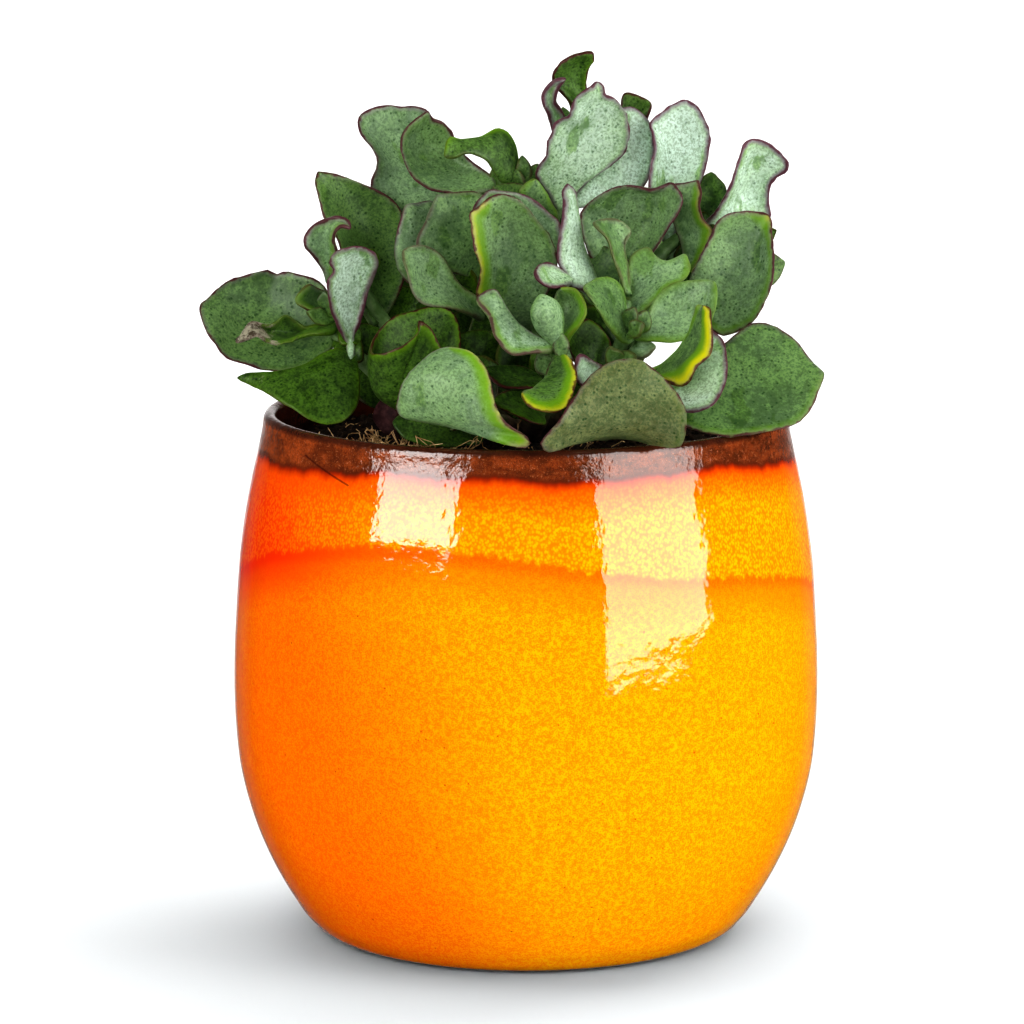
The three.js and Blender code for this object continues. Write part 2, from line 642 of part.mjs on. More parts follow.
    foot: [-1.4, 76.6, -52], tip: [6, 99, -66],
    left: [[-7, 86, -54], [-2, 95, -61]],
    mid: [[2, 88, -60]],
    right: [[11, 84, -60], [14, 95, -67]],
  },
  back_right_tall: {
    foot: [28.4, 57, -38], tip: [42, 83, -68],
    left: [[23, 72, -50], [29, 84, -62]],
    mid: [[33, 71, -56]],
    right: [[40, 66, -52], [48, 76, -64]],
  },
  back_right_low: {
    foot: [30, 54, -34], tip: [57, 59, -62],
    left: [[40, 65, -42], [52, 66, -54]],
    mid: [[44, 59, -52]],
    right: [[40, 55, -52], [51, 54.6, -62]],
  },
  back_right_high: {
    foot: [41.6, 75.6, -15], tip: [60, 82, -46],
    left: [[50, 86, -24], [58, 87, -37]],
    mid: [[52, 79, -30]],
    right: [[49, 73, -26], [58, 75, -40]],
  },
  back_top_left: {
    foot: [-19.6, 80, -9], tip: [-36, 94, -44],
    left: [[-29, 86, -22], [-38, 88, -36]],
    mid: [[-27, 90, -28]],
    right: [[-22, 97, -24], [-30, 100, -38]],
  },
  back_top_middle: {
    foot: [8.6, 91, -13], tip: [14, 103, -50],
    left: [[5, 95, -26], [6, 101, -41]],
    mid: [[11, 96, -32]],
    right: [[18, 97, -24], [23, 103, -38]],
  },
  back_low_right: {
    foot: [3.6, 46, -38], tip: [24, 51, -84],
    left: [[7, 50, -58], [14, 51, -78]],
    mid: [[14, 48, -62]],
    right: [[18, 46, -54], [26, 48, -72]],
  },
};

// The plant's stems are one growth. The mix and every leaf's foot are cut clear of them.
const tubes = Object.values(STEMS);
const stems = wasm.Manifold.union(tubes.map((stem) => stemTube(stem, 0)));
const stemClearance = wasm.Manifold.union(tubes.map((stem) => stemTube(stem, GAP)));

function soil() {
  const side = cavity(GAP);
  const reach = side.at(-1)[0];
  const edge = [reach - EDGE_BEVEL, SOIL_EDGE];
  const shoulder = [reach * SHOULDER_SHARE, SOIL_SHOULDER];
  const dome = [edge, shoulder, [0, SOIL_MIDDLE]];
  const mix = toSolid(turned([...side, ...dome], MIX_SIDES)).subtract(stemClearance);
  return finish("soil", fromSolid(mix), growingMix());
}

// A foot that reached past its stem would leave a crumb on the far side, which isn't kept.
function leaf(name, shape) {
  const blade = leafSolid(shape).subtract(stemClearance);
  const pieces = blade.decompose().sort((a, b) => b.volume() - a.volume());
  return finish(`leaf_${name}`, fromSolid(pieces[0]), leafSkin(shape.skin ?? "green"));
}

const plant = new THREE.Group();
plant.add(pot(), soil(), finish("stems", fromSolid(stems), stemSkin()));
for (const [name, shape] of Object.entries(LEAVES)) {
  plant.add(leaf(name, shape));
}

export default plant;
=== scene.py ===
import math

import bmesh
import bpy
import numpy as np
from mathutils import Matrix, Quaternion, Vector, noise


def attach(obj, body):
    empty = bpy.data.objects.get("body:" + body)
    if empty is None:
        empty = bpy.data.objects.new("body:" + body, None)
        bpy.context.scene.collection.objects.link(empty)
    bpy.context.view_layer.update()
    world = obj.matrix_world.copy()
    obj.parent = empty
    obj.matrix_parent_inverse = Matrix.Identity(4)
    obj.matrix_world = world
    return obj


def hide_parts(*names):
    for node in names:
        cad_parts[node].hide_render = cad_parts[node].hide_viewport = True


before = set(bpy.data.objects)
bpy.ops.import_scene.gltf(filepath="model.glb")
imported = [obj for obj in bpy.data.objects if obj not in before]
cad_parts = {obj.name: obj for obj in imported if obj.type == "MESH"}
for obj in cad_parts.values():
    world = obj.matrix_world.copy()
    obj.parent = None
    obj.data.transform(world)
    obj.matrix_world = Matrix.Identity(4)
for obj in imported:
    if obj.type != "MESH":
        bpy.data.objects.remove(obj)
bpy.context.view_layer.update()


# Camera. It stands 1.6 m from the plant and looks down at it a little, as the photograph does.
# The pot's axis falls a little to the right of the picture's middle.
EYE_DISTANCE = 1.6
EYE_TILT = math.radians(9.8)
AIM_HEIGHT = 0.127
PICTURE_WIDTH = 0.3072
SENSOR = 36
AXIS_OFF_CENTRE = 14 / 1024

eye = bpy.data.cameras.new("eye")
eye.sensor_width = SENSOR
eye.lens = SENSOR * EYE_DISTANCE / PICTURE_WIDTH
eye.shift_x = -AXIS_OFF_CENTRE
eye_stand = bpy.data.objects.new("eye", eye)
eye_stand.location = (0, -EYE_DISTANCE * math.cos(EYE_TILT), AIM_HEIGHT + EYE_DISTANCE * math.sin(EYE_TILT))
eye_stand.rotation_euler = (math.pi / 2 - EYE_TILT, 0, 0)
bpy.context.scene.collection.objects.link(eye_stand)
bpy.context.scene.camera = eye_stand
bpy.context.scene.view_settings.view_transform = "Standard"
bpy.context.scene.view_settings.look = "High Contrast"


# Studio. A white table top with a white wall far behind, and a dark room in front. Two windows
# stand before the pot to its left and right, and soft panels hang over it and the table.
TABLE_FRONT = -0.36
TABLE_BACK = 1.2
TABLE_HALF_WIDTH = 2.5


def link(name, mesh):
    piece = bpy.data.objects.new(name, mesh)
    bpy.context.scene.collection.objects.link(piece)
    return piece


def add_node(tree, kind, inputs, output, settings):
    """One output of a new node, whose inputs are each joined to a socket or set to a value."""
    node = tree.nodes.new(kind)
    for name, value in settings.items():
        setattr(node, name, value)
    for name, value in (inputs or {}).items():
        if isinstance(value, bpy.types.NodeSocket):
            tree.links.new(value, node.inputs[name])
        else:
            node.inputs[name].default_value = value
    return node.outputs[output]


class Nodes:
    """Adds and joins the nodes of one material or world, each by a short call."""

    def __init__(self, owner):
        self.tree = owner.node_tree

    def join(self, output, socket):
        self.tree.links.new(output, socket)

    def add(self, kind, inputs=None, output=0, **settings):
        return add_node(self.tree, "ShaderNode" + kind, inputs, output, settings)

    def place(self):
        return self.add("TexCoord", output="Object")

    def mark(self, name):
        """A number that the mesh carries at each of its points."""
        return self.add("Attribute", output="Fac", attribute_name=name)

    def parts(self, vector):
        return self.add("SeparateXYZ", {0: vector}).node.outputs

    def math(self, operation, *values):
        return self.add("Math", dict(enumerate(values)), operation=operation)

    def plus(self, first, second):
        return self.math("ADD", first, second)

    def times(self, first, second):
        return self.math("MULTIPLY", first, second)

    def stirred(self, value, stir, reach):
        """A value moved up and down by a noise, as far as its reach times the noise's distance from 0.5."""
        return self.plus(value, self.times(self.math("SUBTRACT", stir, 0.5), reach))

    def rise(self, value, low, high):
        """0 up to low and 1 from high, with a soft change between."""
        inputs = {"Value": value, "From Min": low, "From Max": high}
        return self.add("MapRange", inputs, interpolation_type="SMOOTHSTEP")

    def fall(self, value, low, high):
        return self.math("SUBTRACT", 1, self.rise(value, low, high))

    def mix(self, share, first, second):
        """Two colours mixed. A colour is a socket or three numbers."""
        node = self.tree.nodes.new("ShaderNodeMix")
        node.data_type = "RGBA"
        colour_inputs = [s for s in node.inputs if s.type == "RGBA"]
        for socket, value in ((node.inputs[0], share), *zip(colour_inputs, (first, second))):
            if isinstance(value, bpy.types.NodeSocket):
                self.join(value, socket)
            elif isinstance(value, tuple):
                socket.default_value = (*value, 1)
            else:
                socket.default_value = value
        return next(s for s in node.outputs if s.type == "RGBA")

    def noise(self, place, scale, detail=2, roughness=0.5):
        inputs = {"Vector": place, "Scale": scale, "Detail": detail, "Roughness": roughness}
        return self.add("TexNoise", inputs)

    def stretched(self, place, scale):
        return self.add("Mapping", {"Vector": place, "Scale": scale})

    def bump(self, height, strength, distance, over=None):
        inputs = {"Height": height, "Strength": strength, "Distance": distance}
        if over is not None:
            inputs["Normal"] = over
        return self.add("Bump", inputs)


def new_material(name):
    """A material with only its shader and output, its shader, and its nodes."""
    material = bpy.data.materials.new(name)
    material.use_nodes = True
    material.node_tree.nodes.clear()
    shader = material.node_tree.nodes.new("ShaderNodeBsdfPrincipled")
    output = material.node_tree.nodes.new("ShaderNodeOutputMaterial")
    n = Nodes(material)
    n.join(shader.outputs[0], output.inputs["Surface"])
    return material, shader, n


def table_paper():
    """Matt white paper, with the faintest mottle."""
    material, shader, n = new_material("table_paper")
    mottle = n.noise(n.place(), 6)
    n.join(n.mix(mottle, (0.86, 0.88, 0.89), (0.88, 0.90, 0.91)), shader.inputs["Base Color"])
    shader.inputs["Roughness"].default_value = 0.9
    shader.inputs["Specular IOR Level"].default_value = 0.1
    return material


table_mesh = bpy.data.meshes.new("table")
sides = (-TABLE_HALF_WIDTH, TABLE_HALF_WIDTH)
table_corners = [(x, y, 0) for y in (TABLE_FRONT, TABLE_BACK) for x in sides]
table_mesh.from_pydata(table_corners, [], [(0, 1, 3, 2)])
table_mesh.materials.append(table_paper())
table = link("table", table_mesh)
table.visible_glossy = False

# What the room sends to matt things, before the pot and behind it, and what glossy things mirror
DARK_SIDE = (0.03, 0.03, 0.03)
WHITE_SIDE = (0.06, 0.06, 0.06)
MIRRORED_DARK = (0.02, 0.02, 0.02)
MIRRORED_HAZE = (0.13, 0.13, 0.13)
MIRRORED_WALL = (0.75, 0.75, 0.75)
MIRRORED_TABLE = (0.10, 0.045, 0.006)


def room_light():
    """The room's light by direction: dark in front, white behind, and plain white to the camera."""
    room = bpy.data.worlds.new("room")
    room.use_nodes = True
    n = Nodes(room)
    _, behind, up = n.parts(n.add("TexCoord", output="Generated"))
    sent = n.mix(n.rise(behind, -0.15, 0.55), DARK_SIDE, WHITE_SIDE)
    mirrored = n.mix(n.rise(behind, 0.70, 0.93), MIRRORED_DARK, MIRRORED_HAZE)
    mirrored = n.mix(n.rise(behind, 0.93, 0.995), mirrored, MIRRORED_WALL)
    before_wall = n.rise(n.times(behind, -1), -0.8, -0.5)
    tablewards = n.times(n.rise(n.times(up, -1), 0.05, 0.3), before_wall)
    mirrored = n.mix(tablewards, mirrored, MIRRORED_TABLE)
    light = n.mix(n.add("LightPath", output="Is Reflection Ray"), sent, mirrored)
    light = n.mix(n.add("LightPath", output="Is Camera Ray"), light, (1.0, 1.0, 1.0))
    n.join(light, room.node_tree.nodes["Background"].inputs["Color"])
    return room


bpy.context.scene.world = room_light()

SHINE_AHEAD = 0.01
SOFT_SIDE = 0.8
SOFT_AWAY = 1.15
SOFT_AIM = 0.15
SOFT_LOWEST = 0.42
# Where each soft panel hangs, in degrees to the right of the front and above the table, and its radiance
SOFT_PANELS = (
    (-16, 12, 3.1), (75, 12, 2.6), (135, 32, 2.0), (180, 32, 0.6),
    (-90, 32, 0.9), (-90, 58, 0.9), (90, 58, 1.0), (0, 90, 0.6),
)


def panel(name, place, size, radiance, aim, roll=0, shine=None, spread=180):
    """A light panel. Its radiance lights matt things, and its shine is what glossy things mirror."""
    for part, strength in (("fill", radiance), ("shine", shine)):
        if strength is None:
            continue
        light = bpy.data.lights.new(f"{name}_{part}", "AREA")
        light.shape = "RECTANGLE"
        light.size, light.size_y = size
        light.energy = strength * math.pi * size[0] * size[1]
        light.spread = math.radians(spread)
        light.cycles.use_multiple_importance_sampling = part == "shine"
        stand = bpy.data.objects.new(light.name, light)
        stand.location = place
        facing = (Vector(aim) - stand.location).to_track_quat("-Z", "Y")
        if part == "shine":
            stand.location = Vector(place).lerp(Vector(aim), SHINE_AHEAD)
        stand.rotation_euler = (facing @ Quaternion((0, 0, 1), math.radians(roll))).to_euler()
        stand.visible_glossy = part == "shine"
        stand.visible_diffuse = stand.visible_transmission = part == "fill"
        bpy.context.scene.collection.objects.link(stand)


panel("right_window", (0.843, -0.669, 0.456), (0.92, 0.937), 1.2, (0, 0, 0.25), roll=3, shine=6.2)
panel("left_window", (-0.711, -0.698, 0.503), (0.593, 0.576), 1.3, (0, 0, 0.503), shine=9.6)
panel("wall_light", (0, 2.3, 1.5), (5.0, 3.6), 1.0, (0, 2.3, 0), spread=120)
for number, (turned, raised, radiance) in enumerate(SOFT_PANELS):
    turned, raised = math.radians(turned), math.radians(raised)
    away = SOFT_AWAY * math.cos(raised)
    height = max(SOFT_LOWEST, SOFT_AIM + SOFT_AWAY * math.sin(raised))
    place = (away * math.sin(turned), -away * math.cos(turned), height)
    panel(f"soft_{number}", place, (SOFT_SIDE, SOFT_SIDE), radiance, (0, 0, SOFT_AIM))


# Pot. Thrown on the wheel from red earthenware, with a rounded lip and a flat base, and dipped
# twice: an orange glaze all over, and a second coat round the neck that broke to brown at the lip.
TURNED_SIDES = 192
POT_ROWS = 150
LIP_ROUND = 0.0015
WELD = 1e-5
ON_SEAM = 1e-4


def welded(node):
    """A copy of a CAD node's mesh with its loose triangles joined."""
    copy = bmesh.new()
    copy.from_mesh(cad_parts[node].data)
    bmesh.ops.remove_doubles(copy, verts=copy.verts, dist=WELD)
    return copy


def turned_outline(node):
    """A turned CAD node's radius and height, from the middle of its underside round to the axis."""
    copy = welded(node)
    seam = {v for v in copy.verts if abs(v.co.y) < ON_SEAM and v.co.x > -ON_SEAM}
    walk = [min(seam, key=lambda v: v.co.length)]
    while True:
        onward = [e.other_vert(walk[-1]) for e in walk[-1].link_edges]
        onward = [v for v in onward if v in seam and v not in walk]
        if not onward:
            break
        walk.append(onward[0])
    outline = np.array([(v.co.x, v.co.z) for v in walk])
    copy.free()
    return outline


def smooth_line(points, places):
    """Points on a smooth curve through the given ones, at places from 0 to 1 along it."""
    points = np.asarray(points, float)
    steps = np.linalg.norm(np.diff(points, axis=0), axis=1)[:, None]
    slopes = np.diff(points, axis=0) / steps
    inner = (slopes[:-1] * steps[1:] + slopes[1:] * steps[:-1]) / (steps[:-1] + steps[1:])
    slopes_at = np.vstack([slopes[:1], inner, slopes[-1:]])
    knots = np.r_[0, np.cumsum(steps)]
    wanted = np.asarray(places) * knots[-1]
    first = np.clip(np.searchsorted(knots, wanted, side="right") - 1, 0, len(steps) - 1)
    length = steps[first]
    s = (wanted - knots[first])[:, None] / length
    start, end = points[first], points[first + 1]
    from_start, to_end = slopes_at[first] * length, slopes_at[first + 1] * length
    easing = s * s * (3 - 2 * s)
    return start + (end - start) * easing + s * (1 - s) * (from_start * (1 - s) - to_end * s)


def evenly(points, count):
    """The same smooth curve, sampled at equal distances."""
    fine = smooth_line(points, np.linspace(0, 1, 40 * len(points)))
    lengths = np.r_[0, np.cumsum(np.linalg.norm(np.diff(fine, axis=0), axis=1))]
    wanted = np.linspace(0, lengths[-1], count)
    return np.column_stack([np.interp(wanted, lengths, column) for column in fine.T])


outline = turned_outline("pot")
lip_top = int(np.argmax(outline[:, 1]))
lip_end = lip_top + 1 + int(np.argmax(outline[lip_top + 1:, 1] < outline[lip_top, 1] - LIP_ROUND))
outside = evenly(outline[1:lip_end + 1], POT_ROWS)
inside = outline[lip_end + 1:]

# The pot was dipped askew, so the second coat ends high at the front left. Each line is given by
# its height in mm at angles from the front, in degrees to the right.
DIP_LINE = (
    (-180, 109), (-135, 107), (-95, 110), (-81, 113.6), (-73, 116.4), (-65, 120.4), (-57, 123),
    (-47, 126.2), (-34, 129.4), (-23, 129.9), (-12, 129.3), (0, 127.6), (6, 125.5), (13, 124.0),
    (21, 121.8), (29, 120.3), (40, 119.1), (51, 117.5), (67, 113.4), (85, 107.4), (120, 105), (150, 107),
)
BROWN_LINE = (
    (-180, 147), (-140, 149), (-100, 147), (-70, 146.4), (-62, 145.9), (-54, 146.8), (-48, 148),
    (-41, 146.9), (-34, 150), (-23, 149), (-14, 149.2), (-5, 150), (2, 148.4), (6, 147.2), (10, 148.3),
    (20, 148), (28, 149), (36, 148.7), (45, 150.2), (56, 147.3), (65, 146.6), (80, 144.6), (110, 147),
    (145, 148.6),
)
LINE_EASE = 6
COAT_STEP = 0.00015
COAT_FEATHER = 0.0012
THROWING_WAVER = 0.00025
WAVER_APART = 0.045
TRUE_BASE = 0.004
TRUE_RADIUS = 0.06


def line_height(stops, azimuth):
    """A glaze line's height in metres at an angle from the front in radians, with its corners eased."""
    angles, heights = zip(*stops)
    weights = np.hanning(11)
    near = math.degrees(azimuth) + np.linspace(-LINE_EASE, LINE_EASE, len(weights) - 2)
    return float(np.interp(near, angles, heights, period=360) @ weights[1:-1] / weights.sum() / 1000)


def turned_mesh(name, profile, push):
    """A closed turned skin. Its profile runs from axis to axis, and push moves each point a little."""
    mesh = bmesh.new()
    rings = []
    for radius, height in profile[1:-1]:
        ring = []
        for step in range(TURNED_SIDES):
            azimuth = 2 * math.pi * step / TURNED_SIDES
            x, y = math.cos(azimuth), math.sin(azimuth)
            outward, upward = push(x * radius, y * radius, height, azimuth)
            ring.append(mesh.verts.new(((radius + outward) * x, (radius + outward) * y, height + upward)))
        rings.append(ring)
    for lower, upper in zip(rings, rings[1:]):
        for step in range(TURNED_SIDES):
            onward = (step + 1) % TURNED_SIDES
            mesh.faces.new((lower[step], lower[onward], upper[onward], upper[step]))
    for ring, (_, height) in ((rings[0], profile[0]), (rings[-1], profile[-1])):
        middle = mesh.verts.new((0, 0, height + push(0, 0, height, 0)[1]))
        for step in range(TURNED_SIDES):
            mesh.faces.new((ring[step], ring[(step + 1) % TURNED_SIDES], middle))
    bmesh.ops.recalc_face_normals(mesh, faces=mesh.faces)
    made = bpy.data.meshes.new(name)
    mesh.to_mesh(made)
    mesh.free()
    made.shade_smooth()
    return made


def carry(mesh, label, values):
    """Writes a number at each of a mesh's points, for its material to read."""
    mesh.attributes.new(label, "FLOAT", "POINT").data.foreach_set("value", np.asarray(values, np.float32))


def pot_push(x, y, height, azimuth):
    """The wall wavers a little as thrown, and stands back where the second coat is missing."""
    if height < TRUE_BASE or math.hypot(x, y) < TRUE_RADIUS:
        return 0, 0
    waver = THROWING_WAVER * noise.noise(Vector((x, y, height * 0.8)) / WAVER_APART)
    below = (line_height(DIP_LINE, azimuth + math.pi / 2) - height) / COAT_FEATHER
    return waver - COAT_STEP / (1 + math.exp(-max(-30, min(30, below)))), 0


def glaze_body(n, place, painted_light, fine):
    """The first coat, with fine grain and dark specks. It is painted deep orange on the left and low down
    and yellow orange on the right and higher up, which is painted light.
    """
    # Painted light: yellower where more light falls, on the right and higher up
    body = n.mix(painted_light, (0.96, 0.25, 0.001), (0.98, 0.49, 0.002))
    redder = n.mix(painted_light, (0.92, 0.155, 0.001), (0.95, 0.29, 0.001))
    body = n.mix(n.times(n.rise(fine, 0.38, 0.62), 0.6), body, redder)
    specks = n.add("TexVoronoi", {"Vector": place, "Scale": 330.0})
    sparse = n.rise(n.noise(place, 210, 1), 0.50, 0.62)
    speck = n.times(n.fall(specks, 0.05, 0.14), sparse)
    return n.mix(n.times(speck, 0.75), body, (0.42, 0.03, 0.002))


def glaze_coats(n, place, painted_light, fine, broad, grit, above_dip, above_brown):
    """Both coats. The second is granular, redder by the lip and yellower by its lower edge. Both are
    painted yellower on the right and higher up, and deeper orange on the left and low down: painted light.
    """
    grain = n.add("TexVoronoi", {"Vector": n.stretched(place, (1, 1, 0.8)), "Scale": 1250.0})
    # Painted light: this coat too is painted yellower on the right and higher up
    yellow = n.mix(painted_light, (0.93, 0.15, 0.001), (0.98, 0.49, 0.002))
    orange = n.mix(painted_light, (0.86, 0.048, 0.001), (0.96, 0.25, 0.001))
    coat = n.mix(n.rise(n.stirred(grain, grit, 0.9), 0.12, 0.8), yellow, orange)
    by_lip = n.rise(n.plus(above_brown, n.times(broad, 0.006)), -0.009, 0.003)
    coat = n.mix(n.times(by_lip, 0.8), coat, (0.90, 0.10, 0.001))

    # Thick glaze along the edge of the second coat, and its redder fringe below
    below = n.times(n.stirred(above_dip, broad, 0.006), -1)
    fringe = n.mix(painted_light, (0.88, 0.075, 0.001), (0.96, 0.30, 0.001))
    fringe = n.mix(n.rise(below, 0.002, 0.018), fringe, glaze_body(n, place, painted_light, fine))
    thick = n.mix(painted_light, (0.84, 0.036, 0.001), (0.95, 0.205, 0.001))
    edge = n.mix(n.rise(below, 0.0008, 0.0050), thick, fringe)
    edge = n.mix(n.times(n.rise(fine, 0.40, 0.60), 0.35), edge, (0.86, 0.05, 0.001))
    drips = n.noise(n.stretched(place, (1, 1, 0.15)), 420, 2)
    return n.mix(n.rise(n.stirred(above_dip, drips, 0.006), -0.0008, 0.0008), edge, coat)


def glaze_brown(n, place, height, painted_light, fine, speck, above_brown, colour):
    """The brown lip, mottled with rust and dark along its top. Inside the pot it is painted dark brown,
    which is partly its glaze and partly painted shade.
    """
    rusty = n.noise(n.stretched(place, (1, 1, 1.8)), 110, 5, 0.7)
    # Painted light: the rust is painted lighter on the left, where less light falls
    rust_dark = n.mix(painted_light, (0.22, 0.052, 0.014), (0.12, 0.032, 0.010))
    rust_light = n.mix(painted_light, (0.46, 0.105, 0.024), (0.33, 0.077, 0.020))
    rust = n.mix(n.rise(rusty, 0.36, 0.64), rust_dark, rust_light)
    rust = n.mix(n.times(n.rise(speck, 0.42, 0.60), 0.65), rust, (0.065, 0.017, 0.007))
    rust = n.mix(n.times(n.rise(fine, 0.54, 0.66), 0.7), rust, (0.58, 0.19, 0.075))
    tongues = n.noise(n.stretched(place, (1, 1, 0.3)), 150, 3, 0.6)
    over_line = n.stirred(above_brown, tongues, 0.0035)
    colour = n.mix(n.rise(over_line, -0.0024, 0.0006), colour, (0.55, 0.045, 0.002))
    colour = n.mix(n.rise(over_line, -0.0006, 0.0016), colour, (0.12, 0.024, 0.008))
    colour = n.mix(n.rise(over_line, 0.0006, 0.0030), colour, rust)
    # Painted shade: inside the pot the glaze is painted much darker, over its own brown
    inner_brown_and_shade = n.mix(n.rise(rusty, 0.38, 0.62), (0.035, 0.012, 0.007), (0.10, 0.025, 0.010))
    colour = n.mix(n.mark("inside"), colour, inner_brown_and_shade)
    return n.mix(n.times(n.rise(height, 0.1556, 0.1572), 0.8), colour, (0.045, 0.016, 0.010))


# A fine scratch across the edge of the brown at the front left, from end to end
SCRATCH = (Vector((-0.0641, -0.0464, 0.1517)), Vector((-0.0514, -0.0622, 0.1455)))


def scratched(n, place, depth, speck):
    """Where the scratch is: 1 on its line along the wall and 0 away from it."""
    start, end = SCRATCH
    outward = Vector((start.x + end.x, start.y + end.y, 0)).normalized()
    way = end - start
    way = (way - outward * way.dot(outward)).normalized()
    from_start = n.add("VectorMath", {0: place, 1: start}, operation="SUBTRACT")
    raised = n.add("VectorMath", {0: from_start, 1: outward}, "Value", operation="DOT_PRODUCT")
    raised = n.add("VectorMath", {0: outward, "Scale": raised}, operation="SCALE")
    from_start = n.add("VectorMath", {0: from_start, 1: raised}, operation="SUBTRACT")
    along = n.add("VectorMath", {0: from_start, 1: way}, "Value", operation="DOT_PRODUCT")
    along = n.math("MINIMUM", n.math("MAXIMUM", along, 0), (end - start).length)
    on_line = n.add("VectorMath", {0: way, "Scale": along}, operation="SCALE")
    apart = n.add("VectorMath", {0: from_start, 1: on_line}, "Value", operation="DISTANCE")
    scratch = n.fall(n.plus(apart, n.times(speck, 0.0004)), 0.00030, 0.00062)
    return n.times(scratch, n.math("LESS_THAN", depth, -0.03))


def glaze():
    """Glossy orange glaze, granular where the coats overlap and brown where it ran thin at the lip."""
    material, shader, n = new_material("orange_glaze")
    place = n.place()
    across, depth, height = n.parts(place)
    broad = n.noise(place, 14, 3)
    speck = n.noise(place, 2100, 2, 0.7)
    grit = n.noise(place, 800, 2, 0.6)
    fine = n.plus(n.times(speck, 0.65), n.times(grit, 0.35))
    above_dip, above_brown = n.mark("above_dip"), n.mark("above_brown")

    # Painted light: the glaze is painted yellower to the right and higher up, and deeper orange to the left
    # and low down
    toward_painted_light = n.stirred(across, broad, 0.03)
    toward_painted_light = n.plus(toward_painted_light, n.times(n.math("SUBTRACT", height, 0.07), 0.32))
    painted_light = n.rise(toward_painted_light, -0.066, 0.003)
    colour = glaze_coats(n, place, painted_light, fine, broad, grit, above_dip, above_brown)
    colour = glaze_brown(n, place, height, painted_light, fine, speck, above_brown, colour)
    colour = n.mix(n.times(scratched(n, place, depth, speck), 0.72), colour, (0.055, 0.010, 0.004))
    clay = n.mix(n.rise(grit, 0.35, 0.65), (0.35, 0.13, 0.07), (0.5, 0.22, 0.13))
    under = n.math("LESS_THAN", height, 0.0012)
    n.join(n.mix(under, colour, clay), shader.inputs["Base Color"])

    gloss = n.plus(0.025, n.times(n.rise(broad, 0.4, 0.7), 0.02))
    n.join(n.math("MAXIMUM", gloss, n.times(under, 0.8)), shader.inputs["Roughness"])
    shader.inputs["IOR"].default_value = 1.5
    waves = n.noise(n.stretched(place, (1, 1, 0.7)), 95, 3, 0.5)
    waves = n.times(waves, n.plus(0.35, n.rise(above_dip, -0.02, 0.02)))
    crazed = n.times(n.rise(above_brown, -0.001, 0.003), n.noise(place, 600, 3, 0.6))
    relief = n.bump(waves, 1.0, 0.00035)
    relief = n.bump(n.noise(place, 300, 3, 0.5), 1.0, 0.00006, relief)
    n.join(n.bump(crazed, 1.0, 0.00016, relief), shader.inputs["Normal"])
    return material


pot_profile = np.vstack([outline[:1], outside, inside])
glazed_pot = link("glazed_pot", turned_mesh("glazed_pot", pot_profile, pot_push))
glazed_pot.data.materials.append(glaze())
places = [v.co for v in glazed_pot.data.vertices]
for label, stops in (("above_dip", DIP_LINE), ("above_brown", BROWN_LINE)):
    carry(glazed_pot.data, label, [p.z - line_height(stops, math.atan2(p.x, -p.y)) for p in places])
carry(glazed_pot.data, "inside", np.arange(len(places)) >= (len(outside) - 1) * TURNED_SIDES)
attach(glazed_pot, "root")
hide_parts("pot")
# Its orange glow is kept off the table
glazed_pot.visible_diffuse = False


# Growing mix. Dark moist peat, heaped a little towards the middle and crumbly on top. Straw-coloured
# fibres of coir are mixed into it, and lie in two tufts at the front left.
SOIL_ROWS = 60
SOIL_LUMPS = 0.0011
LUMPS_APART = 0.011
BITS_APART = 0.0042
SOIL_CROWN = 0.0035
SOIL_TRUE_BELOW = 0.004
SOIL_TRUE_RIM = 0.0012
CRUMB_REACH = 0.072
CRUMB_DENSITY = 150000.0
CRUMB = 0.0011
CRUMB_DENTS = 0.0016
FIBRE_LENGTH = 0.008
FIBRE_BURIED = 0.001
FIBRE_BEND = 0.016
FIBRE_HALF = 0.00016
FIBRE_CLEAR = 0.0015


def soil_push(x, y, height, azimuth):
    """Lumps on the top of the mix, with its edge and its buried sides left true."""
    edge = soil_outline[:, 0].max() - SOIL_TRUE_RIM
    if height < soil_height - SOIL_TRUE_BELOW or math.hypot(x, y) > edge:
        return 0, 0
    place = Vector((x, y, 0))
    return 0, SOIL_LUMPS * (noise.noise(place / LUMPS_APART) + 0.6 * noise.noise(place / BITS_APART))


soil_outline = turned_outline("soil")
soil_height = float(soil_outline[:, 1].max())
top_start = int(np.argmax(soil_outline[:, 1] > soil_height - SOIL_CROWN))
soil_top = evenly(soil_outline[top_start:], SOIL_ROWS)
soil_profile = np.vstack([soil_outline[:top_start], soil_top])


def peat():
    """Dark moist peat, with lighter dry bits."""
    material, shader, n = new_material("peat")
    place = n.place()
    clods = n.noise(place, 240, 6, 0.7)
    colour = n.mix(n.rise(clods, 0.35, 0.7), (0.010, 0.007, 0.005), (0.045, 0.028, 0.017))
    colour = n.mix(n.rise(n.noise(place, 900, 2), 0.66, 0.72), colour, (0.16, 0.105, 0.06))
    n.join(colour, shader.inputs["Base Color"])
    shader.inputs["Roughness"].default_value = 0.95
    shader.inputs["Specular IOR Level"].default_value = 0.2
    n.join(n.bump(clods, 0.8, 0.0008), shader.inputs["Normal"])
    return material


def coir():
    """Straw-coloured coir, darker here and there along a fibre."""
    material, shader, n = new_material("coir")
    shade = n.noise(n.place(), 420, 3)
    straw = n.mix(n.rise(shade, 0.35, 0.65), (0.34, 0.19, 0.07), (0.85, 0.60, 0.32))
    n.join(straw, shader.inputs["Base Color"])
    shader.inputs["Roughness"].default_value = 0.7
    n.join(n.bump(shade, 0.4, 0.0002), shader.inputs["Normal"])
    return material


